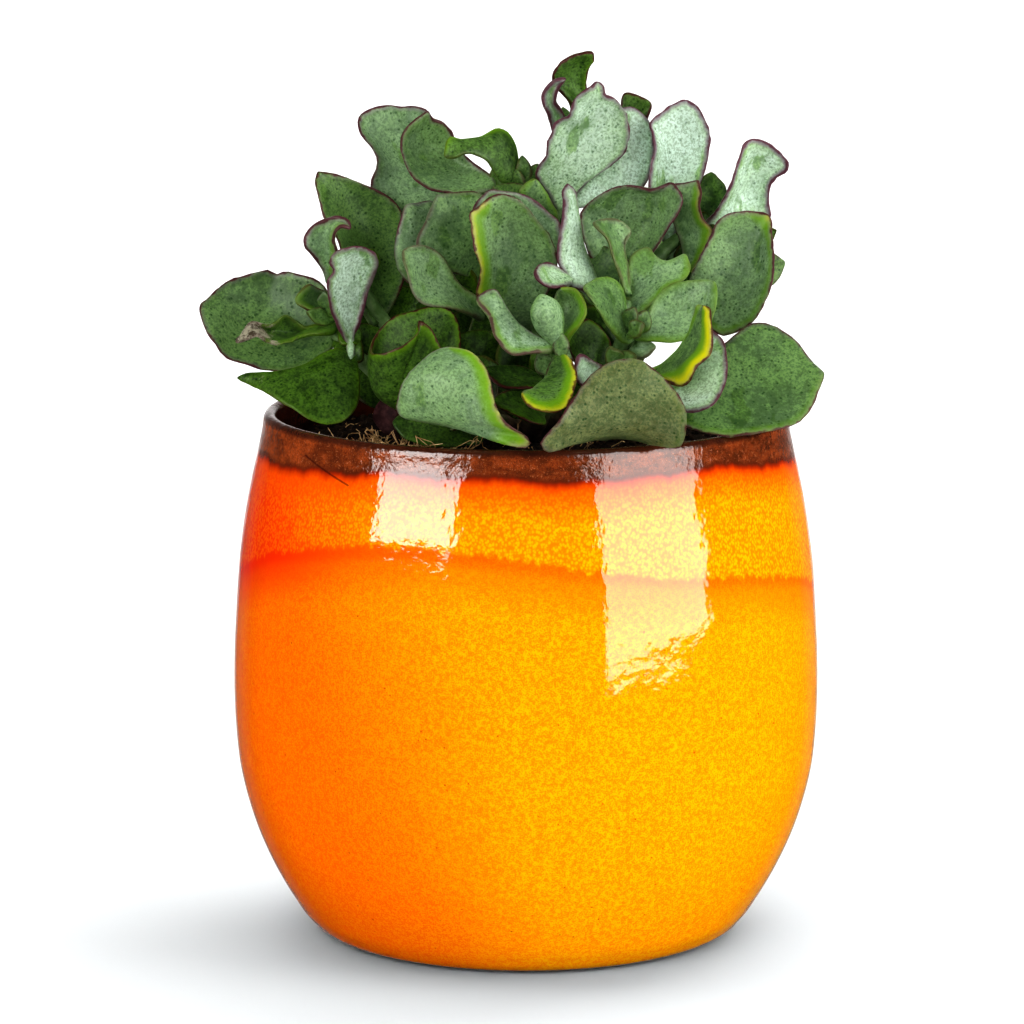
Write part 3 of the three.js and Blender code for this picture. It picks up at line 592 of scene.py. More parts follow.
class Grower:
    """A tree that grows small shapes on a mesh. Its inputs are named, and run() gives a plain mesh."""

    def __init__(self, name):
        self.tree = bpy.data.node_groups.new(name, "GeometryNodeTree")
        for way in ("INPUT", "OUTPUT"):
            self.tree.interface.new_socket("Geometry", in_out=way, socket_type="NodeSocketGeometry")
        self.given = self.tree.nodes.new("NodeGroupInput")
        self.result = self.tree.nodes.new("NodeGroupOutput")
        self.names = {}

    def input(self, name, kind):
        kind = "NodeSocket" + kind
        self.names[name] = self.tree.interface.new_socket(name, in_out="INPUT", socket_type=kind)
        return self.given.outputs[name]

    def add(self, kind, inputs=None, output=0, **settings):
        return add_node(self.tree, kind, inputs, output, settings)

    def vector(self, operation, first, second=None, output=0):
        inputs = {0: first} if second is None else {0: first, 1: second}
        return self.add("ShaderNodeVectorMath", inputs, output, operation=operation)

    def scaled(self, vector, share):
        return self.add("ShaderNodeVectorMath", {0: vector, "Scale": share}, operation="SCALE")

    def compare(self, first, operation, second):
        return self.add("FunctionNodeCompare", {0: first, 1: second}, operation=operation)

    def without(self, geometry, what, domain):
        inputs = {"Geometry": geometry, "Selection": what}
        return self.add("GeometryNodeDeleteGeometry", inputs, domain=domain)

    def end(self, geometry, material):
        realised = self.add("GeometryNodeRealizeInstances", {0: geometry})
        finished = self.add("GeometryNodeSetMaterial", {"Geometry": realised, "Material": material})
        self.tree.links.new(finished, self.result.inputs[0])

    def run(self, name, start, values):
        modifier = start.modifiers.new(name, "NODES")
        modifier.node_group = self.tree
        for label, value in values.items():
            modifier[self.names[label].identifier] = value
        start.update_tag()
        seen_now = start.evaluated_get(bpy.context.evaluated_depsgraph_get())
        mesh = bpy.data.meshes.new_from_object(seen_now)
        start.modifiers.remove(modifier)
        mesh.name = name
        return mesh


def scattered(g, geometry):
    """Points on the upward faces within a reach of a middle, at a density."""
    here = g.add("GeometryNodeInputPosition")
    apart = g.vector("DISTANCE", here, g.input("Middle", "Vector"), "Value")
    inside = g.compare(apart, "LESS_THAN", g.input("Reach", "Float"))
    up = g.vector("DOT_PRODUCT", g.add("GeometryNodeInputNormal"), (0, 0, 1), "Value")
    facing_up = g.compare(up, "GREATER_THAN", 0.5)
    both = g.add("FunctionNodeBooleanMath", {0: inside, 1: facing_up}, operation="AND")
    inputs = {"Mesh": geometry, "Selection": both, "Density": g.input("Density", "Float")}
    return g.add("GeometryNodeDistributePointsOnFaces", inputs)


def crumb_grower():
    """Dented lumps of many sizes, turned every way."""
    g = Grower("crumbs_of_peat")
    points = scattered(g, g.given.outputs["Geometry"])
    lump = g.add("GeometryNodeMeshIcoSphere", {"Radius": g.input("Crumb", "Float"), "Subdivisions": 1})
    size = g.add("FunctionNodeRandomValue", {2: 0.45, 3: 1.5}, 1)
    whole_turns = {0: (0, 0, 0), 1: (6.3, 6.3, 6.3), "Seed": 3}
    turn = g.add("FunctionNodeRandomValue", whole_turns, data_type="FLOAT_VECTOR")
    placed = {"Points": points, "Instance": lump, "Scale": size, "Rotation": turn}
    crumbs = g.add("GeometryNodeRealizeInstances", {0: g.add("GeometryNodeInstanceOnPoints", placed)})
    rough = g.add("ShaderNodeTexNoise", {"Scale": 620.0}, "Color")
    dents = g.scaled(g.vector("SUBTRACT", rough, (0.5, 0.5, 0.5)), CRUMB_DENTS)
    crumbs = g.add("GeometryNodeSetPosition", {"Geometry": crumbs, "Offset": dents})
    g.end(crumbs, g.input("Material", "Material"))
    return g


def fibre_grower():
    """Thin strands that lean or lie every way, and end at the pot's wall."""
    g = Grower("fibres_of_coir")
    points = scattered(g, g.given.outputs["Geometry"])
    ends = {"Start": (0, 0, -FIBRE_BURIED), "End": (0, 0, FIBRE_LENGTH)}
    strand = g.add("GeometryNodeCurvePrimitiveLine", ends)
    strand = g.add("GeometryNodeResampleCurve", {"Curve": strand, "Count": 7})
    size = g.add("FunctionNodeRandomValue", {2: 0.4, 3: g.input("Longest", "Float")}, 1)
    leaning = {0: (0.5, 0.5, 0), 1: (1.65, 1.65, 6.3), "Seed": 5}
    turn = g.add("FunctionNodeRandomValue", leaning, data_type="FLOAT_VECTOR")
    placed = {"Points": points, "Instance": strand, "Scale": size, "Rotation": turn}
    strands = g.add("GeometryNodeRealizeInstances", {0: g.add("GeometryNodeInstanceOnPoints", placed)})

    # Each strand bends more towards its tip
    along = g.add("GeometryNodeSplineParameter")
    bend = g.vector("SUBTRACT", g.add("ShaderNodeTexNoise", {"Scale": 150.0}, "Color"), (0.5, 0.5, 0.45))
    bend = g.scaled(bend, g.add("ShaderNodeMath", {0: along, 1: FIBRE_BEND}, operation="MULTIPLY"))
    strands = g.add("GeometryNodeSetPosition", {"Geometry": strands, "Offset": bend})

    # None passes through the pot's wall, and no stub of one or two points is left there
    flat = g.vector("MULTIPLY", g.add("GeometryNodeInputPosition"), (1, 1, 0))
    from_axis = g.vector("LENGTH", flat, output="Value")
    past_wall = g.compare(from_axis, "GREATER_THAN", g.input("Wall", "Float"))
    strands = g.without(strands, past_wall, "POINT")
    stub = g.compare(g.add("GeometryNodeSplineLength", output="Point Count"), "LESS_THAN", 2.5)
    strands = g.without(strands, stub, "CURVE")
    round_section = {"Resolution": 4, "Radius": g.input("Thickness", "Float")}
    round_section = g.add("GeometryNodeCurvePrimitiveCircle", round_section)
    skin = {"Curve": strands, "Profile Curve": round_section, "Fill Caps": True}
    g.end(g.add("GeometryNodeCurveToMesh", skin), g.input("Material", "Material"))
    return g


peat_material, coir_material = peat(), coir()
soil = link("peat_soil", turned_mesh("peat_soil", soil_profile, soil_push))
soil.data.materials.append(peat_material)
crumbs, fibres = crumb_grower(), fibre_grower()
soil_middle = (0.0, 0.0, soil_height)
crumb_values = {
    "Middle": soil_middle, "Reach": CRUMB_REACH, "Density": CRUMB_DENSITY,
    "Crumb": CRUMB, "Material": peat_material,
}
scatters = {"peat_crumbs": crumbs.run("peat_crumbs", soil, crumb_values)}
# The middle of each spot of fibres, its reach, its density and its longest fibre
FIBRE_SPOTS = {
    "coir_all_over": (soil_middle, 0.070, 12000.0, 1.2),
    "coir_left_tuft": ((-0.047, -0.036, soil_height), 0.013, 850000.0, 1.5),
    "coir_front_tuft": ((-0.025, -0.050, soil_height), 0.0065, 1400000.0, 2.0),
}
for name, (middle, reach, density, longest) in FIBRE_SPOTS.items():
    fibre_values = {
        "Middle": middle, "Reach": reach, "Density": density, "Longest": longest, "Thickness": FIBRE_HALF,
        "Wall": float(soil_top[:, 0].max()) - FIBRE_CLEAR, "Material": coir_material,
    }
    scatters[name] = fibres.run(name, soil, fibre_values)
for name, mesh in scatters.items():
    scatter = link(name, mesh)
    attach(scatter, "root")
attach(soil, "root")
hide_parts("soil")


# Stems. One fleshy stump grows from the mix and forks again and again. Its skin is smooth and
# green on the young branches, and brown and corky where it is old.
STEM_VOXEL = 0.0007
CORK_TOP = 0.166
GREEN_FROM = 0.178


def stem_skin():
    """Green skin over brown cork, with a ragged change where the branch has aged."""
    material, shader, n = new_material("stem_skin")
    place = n.place()
    _, _, height = n.parts(place)
    fine = n.noise(place, 300, 4, 0.6)
    green = n.mix(n.rise(fine, 0.35, 0.65), (0.085, 0.16, 0.045), (0.18, 0.28, 0.11))
    rough = n.noise(n.stretched(place, (1, 1, 3)), 180, 5, 0.7)
    cork = n.mix(n.rise(rough, 0.4, 0.65), (0.055, 0.033, 0.02), (0.17, 0.12, 0.075))
    young = n.rise(n.plus(height, n.times(n.noise(place, 55, 3), 0.022)), CORK_TOP, GREEN_FROM)
    n.join(n.mix(young, cork, green), shader.inputs["Base Color"])
    shader.inputs["Roughness"].default_value = 0.55
    n.join(n.bump(fine, 0.5, 0.0005), shader.inputs["Normal"])
    return material


def stems_mesh():
    """The CAD stems grown into one smooth skin."""
    copy = welded("stems")
    rough = bpy.data.meshes.new("branches")
    copy.to_mesh(rough)
    copy.free()
    body = link("branches_rough", rough)
    remesh = body.modifiers.new("remesh", "REMESH")
    remesh.mode = "VOXEL"
    remesh.voxel_size = STEM_VOXEL
    smooth = body.modifiers.new("smooth", "SMOOTH")
    smooth.iterations = 8
    made = bpy.data.meshes.new_from_object(body.evaluated_get(bpy.context.evaluated_depsgraph_get()))
    bpy.data.objects.remove(body)
    made.shade_smooth()
    return made


branches = link("branches", stems_mesh())
branches.data.materials.clear()
branches.data.materials.append(stem_skin())
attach(branches, "root")
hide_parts("stems")


# Leaves. Each is one fleshy blade on a short foot, thin at its purple-brown margin, which curls
# and waves. They grow in pairs along the branches, and each snaps off at its foot.
RING = 12
BLADE_ROWS = 40
BLADE_ROUND = 48
EDGE_HALF = 0.00042
BLADE_HALF = 0.00055
FOOT_HALF = 0.0013
FOOT_WIDTH = 0.0017
FOOT_SINK = 0.0012
WAVES_APART = 0.009
DENTS_APART = 0.0045
DENT = 0.00022
NICKS_APART = 0.0022
NICK = 0.0003


def whole_rails(foot, across, tip, left, middle, right):
    """A leaf's margins and middle with its foot and tip put to their ends."""
    left = np.vstack([foot + across, left, tip])
    right = np.vstack([foot - across, right, tip])
    return left, np.vstack([foot, middle, tip]), right


def walk_ring(layer):
    """A CAD leaf's ring of vertices in order, or None where they make no single ring."""
    ring = [min(layer, key=lambda v: v.index)]
    while len(ring) < RING:
        beside = [e.other_vert(ring[-1]) for e in ring[-1].link_edges]
        beside = [v for v in beside if v in layer and v not in ring]
        if not beside:
            return None
        ring.append(min(beside, key=lambda v: v.index))
    return np.array([v.co for v in ring])


def margins_of(ring, before):
    """The left margin, middle and right margin of a ring. Left is by the left margin before it."""
    to_next = np.roll(ring, -1, axis=0) - ring
    to_next /= np.linalg.norm(to_next, axis=1)[:, None]
    straightness = (to_next * np.roll(to_next, 1, axis=0)).sum(axis=1)
    corner = int(np.argmin(straightness[:RING // 2] + straightness[RING // 2:]))
    ring = np.roll(ring, -corner, axis=0)
    left, right = ring[0], ring[RING // 2]
    if before and np.linalg.norm(before[0] - left) > np.linalg.norm(before[0] - right):
        left, right = right, left
    return left, (ring[RING // 4] + ring[-RING // 4]) / 2, right


def rails_of(node):
    """Left margin, middle and right margin of a CAD leaf, each from the foot to the tip."""
    copy = welded(node)
    copy.verts.index_update()
    poles = [v for v in copy.verts if len(v.link_edges) == RING]
    tip = max(poles, key=lambda v: max(e.calc_length() for e in v.link_edges))
    walked, layer, sections = {tip}, {tip}, []
    while True:
        layer = {e.other_vert(v) for v in layer for e in v.link_edges} - walked
        ring = walk_ring(layer) if len(layer) == RING else None
        if ring is None:
            break
        walked |= layer
        sections.insert(0, margins_of(ring, sections[0] if sections else None))
    rest = np.array([v.co for v in copy.verts if v not in walked])
    tip = np.array(tip.co)
    copy.free()
    left, middle, right = (np.array(rail) for rail in zip(*sections))
    if len(rest) > 1:
        back = middle[0] - (middle[1] if len(middle) > 1 else tip)
        back /= np.linalg.norm(back)
        reach = (rest - middle[0]) @ back
        foot = rest[reach >= np.quantile(reach, 0.75)].mean(axis=0)
    else:
        foot = rest[0]
    away = foot - middle[1]
    foot = foot + away / np.linalg.norm(away) * FOOT_SINK
    if np.linalg.norm(middle[0] - foot) < 2 * FOOT_WIDTH:
        left, middle, right = left[1:], middle[1:], right[1:]
    across = left[0] - right[0]
    across *= FOOT_WIDTH / np.linalg.norm(across)
    return whole_rails(foot, across, tip, left, middle, right)


def at_noise(points, size, seed):
    """Smooth noise at points, between about -1 and 1, with features of a given size."""
    offset = Vector((seed * 1.37, seed * 0.71, seed * 2.11))
    heights = [noise.noise(Vector(point) / size + offset) for point in points.reshape(-1, 3)]
    return np.array(heights).reshape(points.shape[:-1])


def blade_margins(left, right, along, pointed):
    """Points of both margins at places along the leaf, and its whole rim, which rounds a blunt tip."""
    if pointed:
        lefts, rights = (smooth_line(rail, along)[:, None] for rail in (left, right))
        rim = np.vstack([smooth_line(rail, np.linspace(0, 1, 80)) for rail in (left, right)])
        return lefts, rights, rim
    margin = np.vstack([left, right[-2::-1]])
    lengths = [np.linalg.norm(np.diff(rail, axis=0), axis=1).sum() for rail in (left, right)]
    at_tip = lengths[0] / sum(lengths)
    lefts = smooth_line(margin, along * at_tip)[:, None]
    rights = smooth_line(margin, 1 - along * (1 - at_tip))[:, None]
    return lefts, rights, smooth_line(margin, np.linspace(0, 1, 160))


def facing_of(blade):
    """The way each point of a blade faces, evened out a little."""
    lengthwise = np.gradient(blade, axis=0)
    sidewise = np.gradient(blade, axis=1)
    sidewise[:, 0] = blade[:, 1] - blade[:, 0]
    out = np.cross(lengthwise, sidewise)
    out /= np.maximum(np.linalg.norm(out, axis=2, keepdims=True), 1e-12)
    for _ in range(2):
        out[1:-1] = (out[:-2] + out[1:-1] * 2 + out[2:]) / 4
        out[:, 1:-1] = (out[:, :-2] + out[:, 1:-1] * 2 + out[:, 2:]) / 4
    return out / np.maximum(np.linalg.norm(out, axis=2, keepdims=True), 1e-12)


def closed_skin(name, loops, foot, tip):
    """A closed mesh of rings of corners, drawn together at the foot and the tip, and its corners."""
    corners = np.vstack([loops.reshape(-1, 3), foot, tip])
    foot_pole, tip_pole = len(corners) - 2, len(corners) - 1
    last = (BLADE_ROWS - 1) * BLADE_ROUND
    faces = []
    for step in range(BLADE_ROUND):
        onward = (step + 1) % BLADE_ROUND
        for a in range(0, last, BLADE_ROUND):
            b = a + BLADE_ROUND
            faces.append((a + step, a + onward, b + onward, b + step))
        faces.append((step, foot_pole, onward))
        faces.append((last + step, last + onward, tip_pole))
    mesh = bpy.data.meshes.new(name)
    mesh.from_pydata(corners.tolist(), [], faces)
    shell = bmesh.new()
    shell.from_mesh(mesh)
    bmesh.ops.recalc_face_normals(shell, faces=shell.faces)
    shell.to_mesh(mesh)
    shell.free()
    mesh.shade_smooth()
    return mesh, corners


def blade_mesh(
    name, left, middle, right, seed, waver=0.0007, jagged=1.0, pointed=False,
    pale=0.3, edged=0.95, yellow=(0, 0), ripe_tip=0, bronze=0, dry=0,
):
    """A leaf's closed skin, from its two margins and its middle line.

    Its tone carries both its wax bloom and painted light and shade: leaves in shade are painted darker,
    well lit ones lighter. Yellow is given for each margin, and bronze and dry for the blade.
    """
    along = 1 - (1 - np.linspace(0, 1, BLADE_ROWS + 1)[:-1]) ** 1.5
    lefts, rights, rim = blade_margins(left, right, along, pointed)
    middles = smooth_line(middle, along)[:, None]
    side = np.cos(np.linspace(0, np.pi, BLADE_ROUND // 2 + 1))[None, :, None]
    blade = middles + (rights - lefts) / 2 * side + ((lefts + rights) / 2 - middles) * side**2
    out = facing_of(blade)

    # Waves and nicks at the margin, and shallow dents all over
    past_foot = np.clip(along * 4, 0, 1)[:, None]
    waves = waver * at_noise(blade, WAVES_APART, seed) * np.abs(side[..., 0]) ** 2
    push = waves + DENT * at_noise(blade, DENTS_APART, seed + 5)
    blade = blade + out * (push * past_foot)[..., None]
    width = np.linalg.norm(rights - lefts, axis=2, keepdims=True)
    outward = (rights - lefts) / np.maximum(width, 1e-9) * side**15
    nicks = NICK * jagged * at_noise(blade, NICKS_APART, seed + 9) * past_foot
    blade = blade + outward * nicks[..., None]

    # Thick and fleshy by the foot, and thin with a round edge further on
    fleshy = BLADE_HALF + (FOOT_HALF - BLADE_HALF) * (1 - along[:, None]) ** 3
    roundness = np.sqrt(np.maximum(1 - np.abs(side[..., 0]) ** 10, 0))
    depth = fleshy * np.sqrt(np.maximum(1 - side[..., 0] ** 2, 0)) + EDGE_HALF * roundness
    depth = (depth * np.sqrt(1 - along[:, None] ** 30))[..., None]
    upper, lower = blade + out * depth, blade - out * depth
    loops = np.concatenate([upper, lower[:, -2:0:-1]], axis=1)
    mesh, corners = closed_skin(name, loops, left[0] / 2 + right[0] / 2, left[-1])

    # What the skin reads at each corner: the rim's distance in mm, the place along the leaf, and its looks
    from_rim = np.linalg.norm(corners[:, None] - rim[None], axis=2).min(axis=1) * 1000
    from_rim[-2] = 5
    from_foot = np.r_[np.repeat(along, BLADE_ROUND), 0, 1]
    sides = np.concatenate([side[0, :, 0], side[0, -2:0:-1, 0]])
    by_margin = yellow[0] * np.maximum(-sides, 0) + yellow[1] * np.maximum(sides, 0)
    ripe = ripe_tip * np.clip(from_foot * 4 - 3, 0, 1)
    looks = {
        "from_margin": from_rim,
        "from_foot": from_foot,
        "yellowing": np.maximum(np.r_[np.tile(by_margin, BLADE_ROWS), 0, max(yellow)], ripe),
        "dryness": dry * np.clip(from_foot * 2.2 - 1.0, 0, 1),
        "paleness": np.full(len(corners), pale),
        "bronzing": np.full(len(corners), bronze),
        "edging": np.full(len(corners), edged),
    }
    for label, values in looks.items():
        carry(mesh, label, values)
    return mesh


def leaf_skin():
    """Leaf skin: green flesh with fine dark dots, a waxy bloom rubbed off in patches, a purple margin."""
    material, shader, n = new_material("jade_leaf")
    place = n.place()
    rim, foot, pale, edging = (n.mark(name) for name in ("from_margin", "from_foot", "paleness", "edging"))
    yellowing, bronzing, dryness = (n.mark(name) for name in ("yellowing", "bronzing", "dryness"))
    mottle = n.noise(place, 420, 4, 0.65)
    grain = n.noise(place, 1300, 2, 0.65)

    # Flesh, lighter in places and with a fine mottle
    # Painted light and shade: the flesh is painted darker on leaves in shade and lighter on well lit ones,
    # mixed with how waxy each leaf is
    deep = n.mix(pale, (0.017, 0.041, 0.005), (0.11, 0.22, 0.06))
    light = n.mix(pale, (0.078, 0.160, 0.017), (0.29, 0.48, 0.16))
    shade = n.plus(n.times(n.noise(place, 48, 3), 0.5), n.times(mottle, 0.5))
    flesh = n.mix(n.rise(shade, 0.40, 0.58), deep, light)
    olive = n.mix(n.rise(mottle, 0.35, 0.65), (0.10, 0.095, 0.022), (0.20, 0.185, 0.07))
    flesh = n.mix(n.times(bronzing, 0.75), flesh, olive)

    # The bloom is thin at the margin, and rubbed off in patches
    inner = n.rise(n.plus(rim, n.times(mottle, 2.5)), 1.2, 5.0)
    cloud = n.rise(n.noise(place, 65, 3, 0.6), 0.28, 0.72)
    rubs = n.rise(n.noise(n.stretched(place, (1.6, 1.6, 0.8)), 75, 4, 0.5), 0.57, 0.64)
    rubbed = n.times(rubs, n.math("SUBTRACT", 0.75, n.times(bronzing, 0.75)))
    bloom = n.times(n.plus(0.35, n.times(inner, 0.65)), n.plus(0.55, n.times(cloud, 0.45)))
    bloom = n.times(bloom, n.math("SUBTRACT", 1, rubbed))
    # Painted sheen: the bloom grows with the same mark, so well lit leaves are painted whiter, partly real
    # wax and partly painted sheen
    bloom = n.times(bloom, n.plus(0.10, n.times(n.times(pale, pale), 0.90)))
    bloom = n.times(bloom, n.plus(0.45, n.times(n.plus(grain, mottle), 0.6)))
    flesh = n.mix(bloom, flesh, n.mix(pale, (0.20, 0.33, 0.12), (0.70, 0.84, 0.74)))

    # Fine dark grain and dots
    dark = n.mix(pale, (0.008, 0.022, 0.003), (0.15, 0.27, 0.11))
    flesh = n.mix(n.times(n.rise(grain, 0.42, 0.62), 0.55), flesh, dark)
    dots = n.add("TexVoronoi", {"Vector": place, "Scale": 560.0, "Randomness": 1.0})
    dot = n.times(n.fall(dots, 0.12, 0.30), n.rise(n.noise(place, 330, 1), 0.34, 0.50))
    dotted = n.times(dot, n.math("SUBTRACT", 0.9, n.times(pale, 0.4)))
    flesh = n.mix(dotted, flesh, n.mix(pale, (0.010, 0.036, 0.003), (0.05, 0.13, 0.05)))

    # Yellow green by some margins, yellow where it is strongest, and a grey crust where it dried
    mottled_rim = n.plus(rim, n.times(mottle, 3))
    some = n.times(n.rise(n.noise(place, 30, 2), 0.50, 0.66), 0.45)
    flesh = n.mix(n.times(n.fall(mottled_rim, 1.4, 4.0), some), flesh, (0.16, 0.32, 0.008))
    reach = n.math("SUBTRACT", n.times(yellowing, 10), mottled_rim)
    flesh = n.mix(n.times(n.rise(reach, -2.5, 3.0), 0.8), flesh, (0.17, 0.34, 0.008))
    flesh = n.mix(n.times(n.rise(reach, 3.0, 9.5), 0.92), flesh, (0.66, 0.62, 0.006))
    crusty = n.rise(n.plus(mottle, n.times(grain, 0.5)), 0.62, 0.86)
    crust = n.mix(crusty, (0.07, 0.055, 0.035), (0.33, 0.31, 0.23))
    flesh = n.mix(n.rise(n.stirred(dryness, mottle, 1.2), 0.35, 0.55), flesh, crust)

    # A dark purple margin, with a mauve flush inside it where the leaf is pale
    ragged = n.stirred(rim, n.noise(place, 480, 3), 1.4)
    flush = n.times(n.fall(ragged, 0.7, 1.9), n.times(n.times(pale, edging), 0.8))
    flesh = n.mix(flush, flesh, (0.24, 0.18, 0.24))
    patchy = n.times(n.rise(n.noise(place, 75, 3), 0.22, 0.44), 0.95)
    margin = n.times(n.fall(ragged, 0.30, 0.92), patchy)
    margin = n.times(n.times(margin, n.rise(edging, 0.0, 0.9)), n.rise(foot, 0.05, 0.2))
    purple = n.mix(pale, (0.062, 0.012, 0.013), (0.105, 0.034, 0.050))
    n.join(n.mix(margin, flesh, purple), shader.inputs["Base Color"])

    n.join(n.plus(0.40, n.times(bloom, 0.25)), shader.inputs["Roughness"])
    shader.inputs["Specular IOR Level"].default_value = 0.2
    relief = n.plus(n.times(mottle, 0.35), n.times(dot, -0.4))
    n.join(n.bump(relief, 0.6, 0.0004), shader.inputs["Normal"])
    return material


jade_leaf = leaf_skin()


def add_leaf(name, mesh, skin=jade_leaf, node=None):
    piece = link(name, mesh)
    mesh.materials.append(skin)
    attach(piece, "root")
    if node:
        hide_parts(node)


# The CAD's leaves in a fixed order, where a leaf's place is its seed, and those finished so far
leaf_order = sorted(name[len("leaf_"):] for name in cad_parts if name.startswith("leaf_"))
finished_leaves = set()


def big_leaf(leaf, rails, **looks):
    """The finished piece of a leaf that the CAD has too."""
    mesh = blade_mesh(leaf, *rails, leaf_order.index(leaf), **looks)
    add_leaf("fine_" + leaf, mesh, node="leaf_" + leaf)
    finished_leaves.add(leaf)


def plain_leaf(leaf, **looks):
    """A leaf that keeps the lines of its CAD solid."""
    big_leaf(leaf, rails_of("leaf_" + leaf), **looks)


def seen(across, up, toward):
    """A point given in mm as the camera sees it from the pot's axis: across, up and toward it."""
    across, up, toward = across / 1000, up / 1000, toward / 1000
    back, rise = EYE_DISTANCE * math.cos(EYE_TILT), EYE_DISTANCE * math.sin(EYE_TILT)
    reach = (back - toward) / (back + up * math.sin(EYE_TILT))
    return np.array([across * reach, -toward, AIM_HEIGHT + rise + reach * (up * math.cos(EYE_TILT) - rise)])


def seen_rails(foot, tip, left, middle, right):
    """The rails of a leaf whose points are given as they are seen."""
    foot, tip = seen(*foot), seen(*tip)
    left, middle, right = (np.array([seen(*point) for point in rail]) for rail in (left, middle, right))
    across = left[0] - right[0]
    across *= FOOT_WIDTH / np.linalg.norm(across)
    return whole_rails(foot, across, tip, left, middle, right)


def curly_leaf(leaf, foot, tip, left, middle, right, **looks):
    """A leaf whose outline shows, with every bend of its margins. Its points are given as seen."""
    big_leaf(leaf, seen_rails(foot, tip, left, middle, right), **looks)


def oval_rails(foot, tip, width, out, seed=0):
    """The rails of an oval leaf, given as seen. Its face looks out, and it arches and cups a little."""
    cup, bend, wave = 0.25, 0.12, 0.05
    foot, tip = seen(*foot), seen(*tip)
    length = np.linalg.norm(tip - foot)
    axis = (tip - foot) / length
    across = np.cross(axis, (out[0], -out[2], out[1]))
    across /= np.linalg.norm(across)
    face = np.cross(across, axis)
    share = np.linspace(0.14, 0.93, 7)[:, None]
    half = width / 2000 * np.sin(np.pi * share**1.35) ** 0.75
    middle = foot + axis * share * length + face * bend * length * np.sin(np.pi * share)
    ripple = wave * length * np.sin(2 * np.pi * (1.4 * share + 0.37 * seed + np.array([0, 0.45])))
    rise = face * (cup * half)
    left = middle - across * half + rise + face * ripple[:, :1]
    right = middle + across * half + rise + face * ripple[:, 1:]
    return whole_rails(foot, -across * FOOT_WIDTH * 0.7, tip, left, middle, right)


def small_leaves(group, first_seed, leaves):
    """A shoot's smaller leaves: where each starts and ends, its width, its facing, and its tone from wax
    and from painted light and shade.
    """
    for number, (foot, tip, width, out, pale) in enumerate(leaves):
        name, seed = f"{group}_{number + 1}", first_seed + number
        mesh = blade_mesh(name, *oval_rails(foot, tip, width, out, seed), seed, pale=pale, edged=0.45)
        add_leaf(name, mesh)


# Left shoot. It leans out over the rim, with a big round leaf at its end and a saddle-shaped one
# below. One leaf has withered to a grey curl, and the pale one that stands up is thick with wax.
curly_leaf(
    "left_big", foot=(-57, 51.5, 8), tip=(-98, 60.6, 8), pale=0.31, jagged=1.6,
    left=[(-58.5, 61, 4), (-60.1, 67.6, 2), (-63.7, 70, 1), (-67.6, 71.2, 0), (-73.3, 71.9, -2),
          (-75.4, 71.2, -3), (-76.3, 72.1, -3), (-83.7, 71.2, -3), (-89.8, 69.1, -2), (-94.7, 65.1, 2)],
    middle=[(-68, 56, 2), (-83, 57.5, 0)],
    right=[(-62.4, 45.2, 11), (-73.8, 42, 14), (-84, 44.3, 15), (-89.8, 46.1, 14), (-93.5, 50.4, 13),
           (-95.9, 54.1, 11), (-97.5, 58.3, 9)],
)
curly_leaf(
    "left_saddle", foot=(-51.6, 46, 17), tip=(-86.5, 40.3, 22.5), pale=0, edged=0.35, yellow=(0.05, 0.15),
    dry=0.25,
    left=[(-57, 49.3, 21), (-61, 47.6, 22.5), (-66, 44.6, 24), (-70, 42.9, 25), (-75, 41.7, 25),
          (-80, 41.6, 24.5), (-84, 41.4, 23)],
    middle=[(-56, 41, 28), (-64, 38, 31), (-73, 38.2, 30), (-80, 40, 26)],
    right=[(-50, 41, 27), (-49.8, 36, 31), (-51, 31, 35), (-55.5, 26.8, 38), (-60, 26.2, 39),
           (-65, 27.6, 39), (-70, 30.7, 37), (-75, 33.8, 34), (-78.5, 36, 30), (-82, 37.6, 26)],
)
curly_leaf(
    "left_withered", foot=(-57.5, 55, 14), tip=(-87, 50.8, 24), pale=0.1, edged=0.3, dry=1.0, jagged=2.5,
    left=[(-62, 56.8, 16), (-66.4, 55.4, 18), (-69.3, 57.2, 19), (-72.5, 59.2, 20), (-74.5, 57, 20),
          (-78.5, 55.8, 21), (-82.5, 57, 21), (-85.4, 53.8, 22)],
    middle=[(-64, 54.5, 17), (-70, 53.6, 16), (-76, 53.6, 18), (-82, 54.4, 21)],
    right=[(-61, 53.4, 19), (-65, 53.3, 21), (-68.1, 52.8, 22), (-71.5, 51, 24), (-75, 50, 25),
           (-77.5, 50.8, 25), (-80.2, 53, 24), (-84, 51.5, 24)],
)
curly_leaf(
    "left_upright", foot=(-52.4, 45.6, 20), tip=(-51, 79.8, 25), pale=1, edged=0.9, yellow=(0.3, 0.1),
    jagged=1.6,
    left=[(-54, 50.1, 18), (-55.6, 53.6, 21), (-57.6, 58.1, 23), (-58.9, 62, 25), (-59.6, 66, 27),
          (-59.4, 69.9, 28), (-57.9, 72.2, 27), (-59, 75, 28), (-57.7, 77.8, 28), (-54.4, 79.3, 27)],
    middle=[(-52.6, 56, 16), (-52, 66, 18), (-51.4, 75, 21)],
    right=[(-51.5, 52.4, 17), (-49.8, 57, 17), (-48.6, 61.6, 17), (-47.6, 66.1, 17), (-45.8, 70.2, 18),
           (-44.3, 74.8, 19), (-44.9, 77.1, 20), (-47.8, 79.2, 22)],
)
plain_leaf("left_young", pale=0.25, yellow=(0.4, 0.1))
small_leaves("left_shoot_small", 200, [
    ((-57, 50, 14), (-49, 45.5, 20), 9, (0, 0.6, 1), 0),
    ((-56, 54, 12), (-50, 50, 18), 8, (0.3, 0.5, 1), 0),
    ((-58, 56, 12), (-66, 60, 17), 5.5, (-0.2, 0.6, 1), 0.25),
    ((-58, 57, 11), (-60.5, 66.5, 14), 6, (-0.6, 0.2, 1), 0.25),
    ((-52, 47, 10), (-44, 55, 8), 11, (0, 0.3, 1), 0),
])


